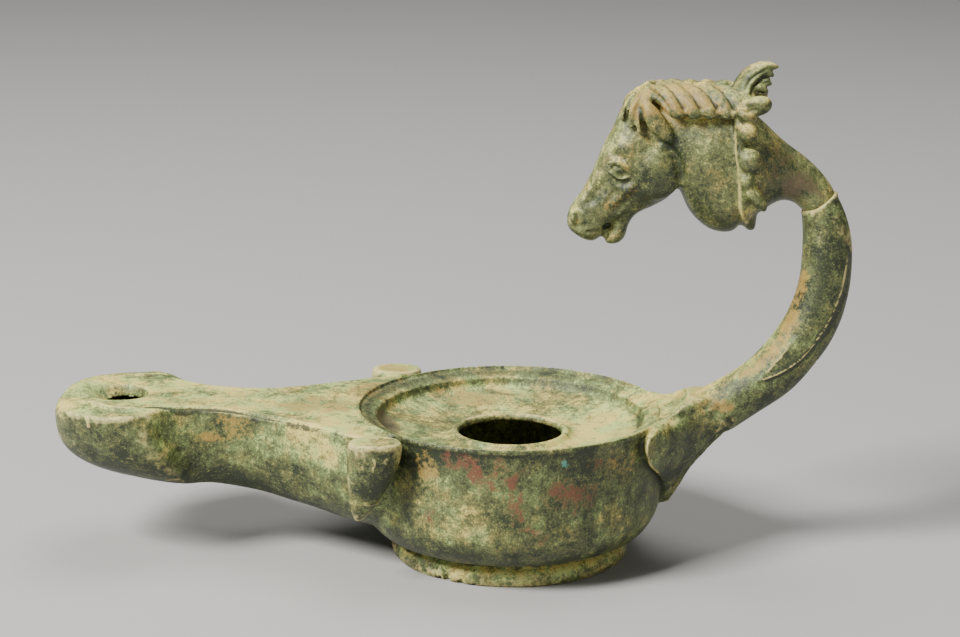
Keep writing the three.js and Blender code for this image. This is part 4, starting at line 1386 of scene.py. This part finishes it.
@dataclass(frozen=True)
class PatinaAndPaintedLight:
    """Cast bronze under its old patina, with painted light and shade: some tones stand for what has grown
    there or been rubbed, others are painted light on the tops, painted highlights and painted shade.
    """

    name: str
    # The ground's colours from dark to light, then one for each thing that grew or wore there; black is also
    # the painted shade and cream also the painted highlight
    black: Colour = (0.026, 0.036, 0.015, 1)
    olive: Colour = (0.115, 0.128, 0.044, 1)
    green: Colour = (0.205, 0.275, 0.092, 1)
    earth: Colour = (0.31, 0.27, 0.075, 1)
    pale: Colour = (0.60, 0.68, 0.205, 1)
    straw: Colour = (0.80, 0.66, 0.18, 1)
    cream: Colour = (0.82, 0.68, 0.26, 1)
    tan: Colour = (0.42, 0.27, 0.065, 1)
    brown: Colour = (0.14, 0.098, 0.052, 1)
    ochre: Colour = (0.44, 0.27, 0.052, 1)
    cuprite: Colour = (0.19, 0.066, 0.034, 1)
    verdigris: Colour = (0.13, 0.42, 0.30, 1)
    roughness: float = 0.46

    def material(self) -> bpy.types.Material:
        """Builds the finish from the notes on the vertices and from fine noise."""
        graph = Graph(self.name)
        clouds = graph.noise(15, 4, 0.6)
        patch = graph.noise(4.2, 6, 0.62, 0.3)
        speck = graph.noise(1.2, 5, 0.7, 0.7)
        tiny = graph.noise(0.42, 3, 0.65, 1.1)
        pale = graph.note(Tone.PALE)
        hue = graph.noise(6.5, 4, 0.6, 2.1)
        ragged = (clouds * 0.5 + patch * 0.5 + speck * 0.5 + tiny * 0.45 - 0.975) * 1.5
        # Painted light and shade: the pale note, high on faces that look up, lightens, and the under note,
        # high on faces that look down, darkens
        tone = ragged + pale * 0.22 - graph.note(Tone.UNDER) * 0.2

        middle = graph.blend(hue.step(0.44, 0.62), self.green, self.earth)
        light = graph.blend(hue.step(0.4, 0.6), self.pale, self.straw)
        colour = graph.blend(tone.step(-0.24, 0), self.black, self.olive)
        colour = graph.blend(tone.step(-0.06, 0.17), colour, middle)
        colour = graph.blend(tone.step(0.10, 0.34), colour, light)
        # Tan, brown, ochre, cuprite and verdigris are the patina's own colours; the dark note is mostly
        # painted shade in grooves and on shaded sides
        for note, shade, strength in (
            (Tone.TAN, self.tan, 0.7),
            (Tone.BROWN, self.brown, 0.85),
            (Tone.OCHRE, self.ochre, 0.75),
            (Tone.CUPRITE, self.cuprite, 0.9),
            (Tone.VERDIGRIS, self.verdigris, 0.9),
            (Tone.DARK, self.black, 0.9),
        ):
            amount = graph.note(note)
            mask = (amount + (patch - 0.5) * 1.5 + (speck - 0.5) * 1.5 - 0.45).step(0, 0.3)
            colour = graph.blend(mask * amount.step(0.02, 0.2) * strength, colour, shade)
        # Cream on rubbed edges and, along some ridges, painted highlights; less where painted shade lies
        worn = graph.note(Tone.WORN) - graph.note(Tone.DARK) * 0.7 + (speck - 0.5) * 1.2 - 0.2
        colour = graph.blend(worn.step(0.1, 0.8) * 0.8, colour, self.cream)
        dust = speck * 0.5 + tiny * 0.5
        colour = graph.blend(dust.step(0.56, 0.68) * 0.4, colour, self.pale)
        colour = graph.blend(dust.step(0.43, 0.33) * 0.5, colour, self.black)
        colour = graph.blend(graph.note(Tone.CREASE).step(0.1, 0.9) * 0.85, colour, self.black)

        height = patch * 0.3 + speck * 0.45 + tiny * 0.25
        bump = graph.add(
            "ShaderNodeBump", {}, {"Strength": 0.7, "Distance": 0.0006, "Height": height}
        )
        shader = graph.add(
            "ShaderNodeBsdfPrincipled",
            {},
            {
                "Base Color": colour,
                "Roughness": self.roughness + (speck - 0.5) * 0.5 + pale * 0.1,
                "Metallic": 0.0,
                "Specular IOR Level": 0.5,
                "Normal": bump,
            },
        )
        graph.surface(shader)
        return graph.material


@dataclass(frozen=True)
class Spot:
    """A place on the lamp where a tone gathers."""

    tone: Tone
    centre: Place
    radii: Place
    strength: float = 1.0


@dataclass(frozen=True)
class Trace:
    """A line on the lamp along which a tone lies."""

    tone: Tone
    line: Stroke


@dataclass
class Patches:
    """Writes on a piece where each tone of the patina and of the painted light and shade lies."""

    spots: tuple[Spot, ...]
    traces: tuple[Trace, ...] = ()
    grain: Grain = field(default_factory=lambda: Grain(5))

    def write(self, piece: Piece, fields: dict[Tone, Array]) -> None:
        """Adds the spots to what the piece's own shape gives and notes each tone.

        Args:
            piece: the piece to write on.
            fields: tones that follow from the shape.
        """
        places = Bench.places(piece)
        ragged = self.grain.rough(places, 3.0)
        for tone in Tone:
            total = fields.get(tone, np.zeros(len(places))).copy()
            for spot in self.spots:
                if spot.tone is tone:
                    gap = np.linalg.norm((places - spot.centre) / spot.radii, axis=1)
                    total += spot.strength * (1 - eased(gap + 0.3 * ragged, 0.4, 1.3))
            total += sum(trace.line.lift(places) for trace in self.traces if trace.tone is tone)
            Bench.note(piece, tone.value, total)


def shape_tones(piece: Piece) -> dict[Tone, Array]:
    """Tones that follow from the shape: painted light on faces that look up, cream on edges, dark in creases
    and painted shade on faces that look down.
    """
    normals = Bench.normals(piece)
    near, wide = hollowness(piece, 3), hollowness(piece, 16)
    return {
        # Painted light: faces that look up are lighter
        Tone.PALE: eased(normals[:, 2], 0.05, 0.95),
        # Painted shade: faces that look down are darker
        Tone.UNDER: eased(-normals[:, 2], 0.05, 0.8),
        Tone.WORN: eased(-near, 0.04, 0.15) * 0.5 + eased(-wide, 0.2, 0.7) * 0.3,
        Tone.CREASE: eased(near, 0.03, 0.14) * 0.6 + eased(wide, 0.2, 0.7) * 0.6,
    }


LEAF_MARGIN: Path = (
    (33.5, -17, 32.8), (34.3, -15, 35.2), (37, -8.6, 34.8), (40.2, -8, 35.7), (44.4, -5.5, 36.6),
    (48.4, -5.5, 38),
)


def spots(tone: Tone, *rows: tuple[Place, Place, float]) -> tuple[Spot, ...]:
    """Spots of one tone, from rows of centre, radii and strength."""
    return tuple(Spot(tone, *row) for row in rows)


def traces(tone: Tone, *lines: Stroke) -> tuple[Trace, ...]:
    """Traces of one tone, one along each line."""
    return tuple(Trace(tone, line) for line in lines)


BODY_SPOTS = (
    # Red-brown patches on the reservoir's wall
    *spots(
        Tone.CUPRITE,
        ((-10.8, -35, 32.6), (7, 8, 3.2), 0.58),
        ((-1.6, -36, 29.6), (8, 8, 6), 0.5),
        ((2.6, -36, 22.5), (3.6, 8, 7.5), 0.5),
        ((15.4, -33, 23.6), (8.5, 9, 6.2), 0.6),
        ((-16.4, -32, 18.5), (3.4, 6, 3), 0.6),
        ((8.3, -35, 15), (3.4, 6, 3.4), 0.6),
        ((20, -31, 31), (5, 7, 2.6), 0.5),
    ),
    # Earth on wall, nozzle, strap, far lug and disc
    *spots(
        Tone.TAN,
        ((27, -25, 29), (8, 9, 6), 0.45),
        ((-18.5, -31, 30.5), (4.2, 5, 5), 0.7),
        ((-47, -2, 36), (12, 9, 3), 0.72),
        ((-36, 14, 35.6), (5, 12, 2.5), 0.6),
        ((-30, 32, 36), (7, 6, 2), 0.7),
        ((44, 0, 39), (12, 12, 4), 0.5),
        ((50.2, -5, 38.4), (2.6, 4, 1.9), 0.5),
        ((-10, 24, 31), (11, 6, 3), 0.75),
    ),
    # The one blue-green spot under the rim
    *spots(
        Tone.VERDIGRIS,
        ((13.9, -34, 32.2), (1.2, 3, 1.1), 0.62),
    ),
    # Paler wall, foot and disc, and a painted sheen on the nozzle's side
    *spots(
        Tone.PALE,
        ((-20, -28, 16), (14, 12, 14), 0.2),
        ((0, -26, 1.5), (28, 12, 3.4), 0.6),
        ((-54, -17, 30), (20, 8, 6), 0.5),
        ((-45, -19, 30.5), (15, 8, 6), 0.75),
        ((23, -2, 30.5), (11, 20, 3), 0.9),
    ),
    # Shaded belly, near lug and disc
    *spots(
        Tone.DARK,
        ((2, -34, 9.5), (22, 10, 4), 0.35),
        ((-30.5, -37.5, 26), (7.5, 6, 11), 0.25),
        ((-8, -20, 30.5), (20, 6, 2.5), 0.3),
    ),
    # Yellow earth on the nozzle's side
    *spots(
        Tone.OCHRE,
        ((-66, -11.5, 33), (10, 5, 4.6), 0.6),
        ((-73.5, -12, 29.5), (5, 5, 1.8), 0.36),
    ),
    # Darker root leaf and arm, and painted shade on the near lug and the disc
    *spots(
        Tone.UNDER,
        ((42, -9, 27), (12, 14, 13), 0.25),
        ((70, -3, 58), (11, 6, 16), 0.45),
        ((73, -3, 78), (9, 8, 13), 0.6),
        ((-30.5, -37.5, 26), (9, 6, 13), 0.5),
        ((-20, 0, 30.5), (14, 26, 3.5), 0.6),
        ((4, -24, 30.5), (26, 8, 3), 0.55),
    ),
    # Brown under the strap and beside the rim
    *spots(
        Tone.BROWN,
        ((44, -8, 33), (9, 9, 5), 0.35),
        ((-29.5, -3, 32.4), (5.5, 10, 3), 0.85),
    ),
    # The lugs' rubbed tops
    *spots(
        Tone.WORN,
        ((-30, -32, 36.4), (6, 5, 0.8), 0.45),
        ((-30, 32, 36.4), (6, 5, 0.8), 0.45),
    ),
)
BODY_TRACES = (
    # The groove inside the rim's band
    *traces(Tone.UNDER, Stroke(arc(34.5, 35, 40, 325), 1.1, 1.9, 0.1, False, FROM_ABOVE)),
    # The same groove, shaded sides of arm, nozzle and root leaf
    *traces(
        Tone.DARK,
        Stroke(arc(34.5, 35, 60, 315), 0.5, 1.7, 0.1, False, FROM_ABOVE),
        Stroke(((60, -5.6, 44.8), (65, -5.8, 48.2), (69.8, -6, 51.8), (74.4, -6, 57.8),
                (77.6, -5.6, 64), (79.2, -5, 70)), 0.9, 1.2, 0.15),
        Stroke(((67, -5, 56), (71.6, -5, 64), (73.4, -5, 72), (71.6, -4, 82)),
               0.6, 2.6, 0.3),
        Stroke(((-103, -11, 37.3), (-97, -15.4, 37.3), (-91, -17.2, 37.3), (-86, -16.2, 37.3)),
               0.5, 1.0, 0.3, counts=FROM_ABOVE),
        Stroke(((-82, -14.6, 35.8), (-70, -11.6, 35.2), (-60, -13.6, 34.6), (-50, -17.6, 34.4),
                (-40, -23.2, 34.2)), 0.4, 0.7, 0.2),
        Stroke(LEAF_MARGIN, 0.5, 0.5, 0.2),
        Stroke(LEAF_KEEL, 0.8, 0.5, 0.1),
        Stroke(tuple((x, -y, 37.0) for x, y in NOZZLE_RIDGE[3:]), 1.3, 0.5, 0.1, counts=FROM_ABOVE),
    ),
    # Rubbed edges of the disc, the long leaf, the lug's veins and the nozzle
    *traces(
        Tone.WORN,
        Stroke(arc(32.2, 34.2, 130, 320), 0.45, 0.35, 0.1, False, FROM_ABOVE),
        Stroke(arc(13.2, 30.4, 15, 165), 0.6, 0.7, 0.2, False, FROM_ABOVE),
        Stroke(ARM_RIDGE, 1.5, 0.26, 0.25),
        Stroke(ARM_RIDGE_INNER, 1.0, 0.26, 0.4),
        Stroke(LUG_VEIN, 0.9, 0.28, 0.1),
        Stroke(((-26.6, -36, 34), (-27.6, -36.5, 32.4), (-29, -36.8, 31.4)), 0.7, 0.26, 0.2),
        Stroke(((-34.8, -36, 31), (-34.2, -36.2, 28.5), (-34, -36.4, 25)), 0.7, 0.28, 0.3),
        Stroke(((-104, -8.4, 37.5), (-99, -11.2, 37.5), (-94, -14.2, 37.5), (-89, -15, 37.5),
                (-84, -13.6, 37.4)), 0.6, 0.5, 0.3, counts=FROM_ABOVE),
        Stroke(NOZZLE_DRIP, 1.0, 0.5, 0.2),
    ),
    # Earth on the arm's inner side
    *traces(
        Tone.OCHRE,
        Stroke(((52, -2, 43.6), (58, -2, 47.4), (62.8, -2, 53), (66.4, -2, 60),
                (68.4, -2.4, 68), (68.8, -2.8, 75)), 0.75, 1.7, 0.15),
    ),
)
HEAD_SPOTS = (
    # Dark cheek, and painted shade in the eye's socket
    *spots(
        Tone.DARK,
        ((35, -8, 93), (5, 5, 6), 0.5),
        ((24.9, -7.2, 95.2), (1.5, 1.6, 0.7), 0.6),
    ),
    # Painted shade on the jaw and in the throat
    *spots(
        Tone.UNDER,
        ((31, -7, 91.5), (6, 4, 4), 0.6),
        ((37, -7, 100.5), (3.5, 4, 4), 0.8),
    ),
    # Earth on cheek, mane, neck and stem
    *spots(
        Tone.TAN,
        ((27, -6, 90.5), (3, 3, 2.6), 0.55),
        ((23, -5.6, 87), (2.6, 3, 2.4), 0.5),
        ((36.5, -7, 97.5), (3, 4, 3), 0.5),
        ((40, -6, 112.5), (13, 9, 5), 0.85),
        ((29, -5, 110), (4, 6, 4), 0.6),
        ((45, -9, 88), (9, 6, 9), 0.35),
        ((66, 0, 101), (9, 8, 5), 0.4),
    ),
    # The rubbed forehead
    *spots(
        Tone.WORN,
        ((20, -4, 97), (2.5, 3.5, 3.5), 0.35),
    ),
    # Earth in the nostril
    *spots(
        Tone.OCHRE,
        ((15.4, -4.6, 82.4), (1.4, 1.6, 1.6), 0.55),
    ),
    # The stem's brown side
    *spots(
        Tone.BROWN,
        ((64, -6, 94), (9, 8, 8), 0.5),
        ((69, -5, 90), (6, 6, 6), 0.4),
    ),
    # Paler calyx
    *spots(
        Tone.PALE,
        ((56, -10, 105), (4, 6, 16), 0.55),
        ((55.5, -6, 84), (3, 5, 6), 0.5),
    ),
)
HEAD_TRACES = (
    # Painted shade between the locks, between the calyx's lobes, under the mane's lower edge and in the slit
    # before the ear; dark lines in the tall leaf
    *traces(
        Tone.DARK,
        *lock_lines(-1.95, 0.8, 0.4),
        Stroke(((51.6, -10, 107.9), (54, -10, 107.6), (57, -8, 108.6)), 0.8, 0.35, 0.2),
        Stroke(((52.2, -10, 102.4), (54.6, -10, 102.2), (57.4, -8, 102.4)), 0.8, 0.4, 0.2),
        Stroke(((53, -10, 96.4), (55.4, -10, 95.8), (57.6, -9, 96)), 0.7, 0.4, 0.2),
        Stroke(((53.6, -9, 91.6), (55.4, -9, 88.2), (57.6, -8, 86.2)), 0.7, 0.4, 0.2),
        Stroke(((35, -9, 108.4), (40, -9.4, 108.2), (45, -9.8, 108.2), (49.6, -9.8, 108.4)),
               0.6, 0.55, 0.1),
        Stroke(((53.2, -5, 112.8), (53.8, -4.6, 115.6), (55.6, -3.6, 117.7), (59.4, -1.6, 119.4)),
               0.8, 0.3, 0.2),
        Stroke(((54.8, -5.4, 112.8), (55.2, -4.6, 114.9), (57.2, -3.2, 116.8), (59.2, -1.6, 117.6)),
               0.8, 0.3, 0.2),
        Stroke(((29, -7.6, 111), (29.7, -8, 107.6), (30.6, -8.2, 104.6)), 1.2, 0.6, 0.15),
    ),
    # Painted highlights on the locks' backs and the nasal bone; pale edges of the flange and the tall leaf
    *traces(
        Tone.WORN,
        *lock_lines(0.1, 0.6, 0.45),
        Stroke(((50.2, -10, 113.8), (50.6, -10, 108.3), (51.5, -10, 101.3), (52.4, -10, 95.5),
                (52.6, -10, 91), (53, -8, 87), (54.6, -5, 83.6), (56, -4, 82)),
               0.95, 0.42, 0.1),
        Stroke(((50.8, -4, 112), (51.3, -3.6, 116), (54.4, -2.4, 119.4), (58.4, -1.2, 120.3),
                (61.4, 0, 119)), 0.7, 0.7, 0.1),
        Stroke(((20.4, -5.4, 95.6), (18.4, -4.6, 91.6), (16.6, -4.2, 88)), 0.7, 0.6, 0.3),
    ),
)
BODY_FINISH = PatinaAndPaintedLight("body_patina_and_painted_light")
HEAD_FINISH = PatinaAndPaintedLight(
    "finial_patina_and_painted_light",
    green=(0.20, 0.225, 0.080, 1),
    pale=(0.58, 0.58, 0.185, 1),
    earth=(0.30, 0.235, 0.070, 1),
    roughness=0.38,
)


# Stage


@dataclass(frozen=True)
class SoftLight:
    """A square light that looks at the lamp's middle; sizes are metres and the power is watts."""

    name: str
    place: Place
    size: float
    power: float

    def hang(self, aim: Vector) -> None:
        """Hangs the light and turns it to a point."""
        bpy.ops.object.light_add(type="AREA", location=self.place)
        light = bpy.context.object
        light.name = self.name
        light.data.size = self.size
        light.data.energy = self.power
        light.rotation_euler = (aim - Vector(self.place)).to_track_quat("-Z", "Y").to_euler()


@dataclass(frozen=True)
class Studio:
    """Camera, floor and lights; places are in the frame's metres and angles in degrees."""

    camera_place: Place = (0.03427, -0.60122, 0.21077)
    azimuth: float = 2.6
    elevation: float = 14.28
    roll: float = 0.5
    lens: float = 97.5
    sensor: float = 36.0
    clip: tuple[float, float] = (0.01, 20)
    aim: Place = (0, 0, 0.05)
    floor_grey: Colour = (0.50, 0.49, 0.46, 1)
    surround: Colour = (0.9, 0.92, 1, 1)
    surround_strength: float = 0.11
    soft_lights: tuple[SoftLight, ...] = (
        SoftLight("key", (-0.75, -0.6, 0.95), 0.45, 32.0),
        SoftLight("top", (0.15, 0.35, 1.1), 0.7, 6.0),
        SoftLight("fill", (0.9, -0.8, 0.35), 0.8, 1.6),
    )

    def camera(self) -> None:
        """Sets the camera at the photograph's viewpoint."""
        bpy.ops.object.camera_add(location=self.camera_place)
        camera = bpy.context.object
        camera.name = "camera"
        camera.data.lens = self.lens
        camera.data.sensor_width = self.sensor
        camera.data.clip_start, camera.data.clip_end = self.clip
        turn, tilt = math.radians(self.azimuth), math.radians(self.elevation)
        level = math.cos(tilt)
        back = Vector((math.sin(turn) * level, -math.cos(turn) * level, math.sin(tilt)))
        camera.rotation_euler = (-back).to_track_quat("-Z", "Y").to_euler()
        camera.rotation_euler.rotate_axis("Z", math.radians(self.roll))
        bpy.context.scene.camera = camera

    def floor(self) -> None:
        """Lays the plain pale floor."""
        bpy.ops.mesh.primitive_plane_add(size=6, location=(0, 1.5, 0))
        floor = bpy.context.object
        floor.name = "floor"
        graph = Graph("floor_paper")
        shader = graph.add(
            "ShaderNodeBsdfPrincipled", {}, {"Base Color": self.floor_grey, "Roughness": 0.9}
        )
        graph.surface(shader)
        floor.data.materials.append(graph.material)
        floor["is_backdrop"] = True

    def lights(self) -> None:
        """Hangs a large soft light at the upper left, two weaker ones and a pale surround."""
        for light in self.soft_lights:
            light.hang(Vector(self.aim))
        world = bpy.data.worlds.new("surround")
        world.use_nodes = True
        sky = world.node_tree.nodes["Background"].inputs
        sky["Color"].default_value = self.surround
        sky["Strength"].default_value = self.surround_strength
        bpy.context.scene.world = world

    def set_up(self) -> None:
        """Sets camera, floor and lights."""
        Bench.clear()
        self.camera()
        self.floor()
        self.lights()


def into_frame(piece: Piece, shift: float, box: tuple[Vector, Vector]) -> None:
    """Brings a finished piece from the lamp's millimetres into the frame's metres.

    Args:
        piece: the finished piece.
        shift: how far the reservoir's axis lies from the frame's origin, in metres.
        box: the CAD model's box, which the piece stays inside.
    """
    places = Bench.places(piece) * MM + (shift, 0, 0)
    Bench.put(piece, np.clip(places, np.array(box[0]), np.array(box[1])))
    Bench.pick(piece)
    bpy.ops.object.shade_smooth()


def main() -> None:
    """Builds the lamp round its frame and reports each piece."""
    logging.basicConfig(level=logging.INFO, format="%(message)s")
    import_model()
    cad_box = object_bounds()
    Studio().set_up()
    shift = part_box("lamp_body")[0].x + Nozzle.reach * MM + TIP_CLEARANCE
    body = (LampBody, Patches(BODY_SPOTS, BODY_TRACES), "lamp_body", "body_bronze", BODY_FINISH)
    head = (Finial, Patches(HEAD_SPOTS, HEAD_TRACES), "horse_head_finial", "finial_bronze", HEAD_FINISH)
    for casting, patches, node, slot, finish in (body, head):
        piece = casting(lines=[trace.line for trace in patches.traces]).build()
        patches.write(piece, shape_tones(piece))
        into_frame(piece, shift, cad_box)
        piece.data.materials.clear()
        piece.data.materials.append(finish.material())
        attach(piece, "root")
        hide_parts(node)
        faces, corners = len(piece.data.polygons), len(piece.data.vertices)
        LOG.info("%s: %d faces, %d vertices", piece.name, faces, corners)


if __name__ == "__main__":
    main()
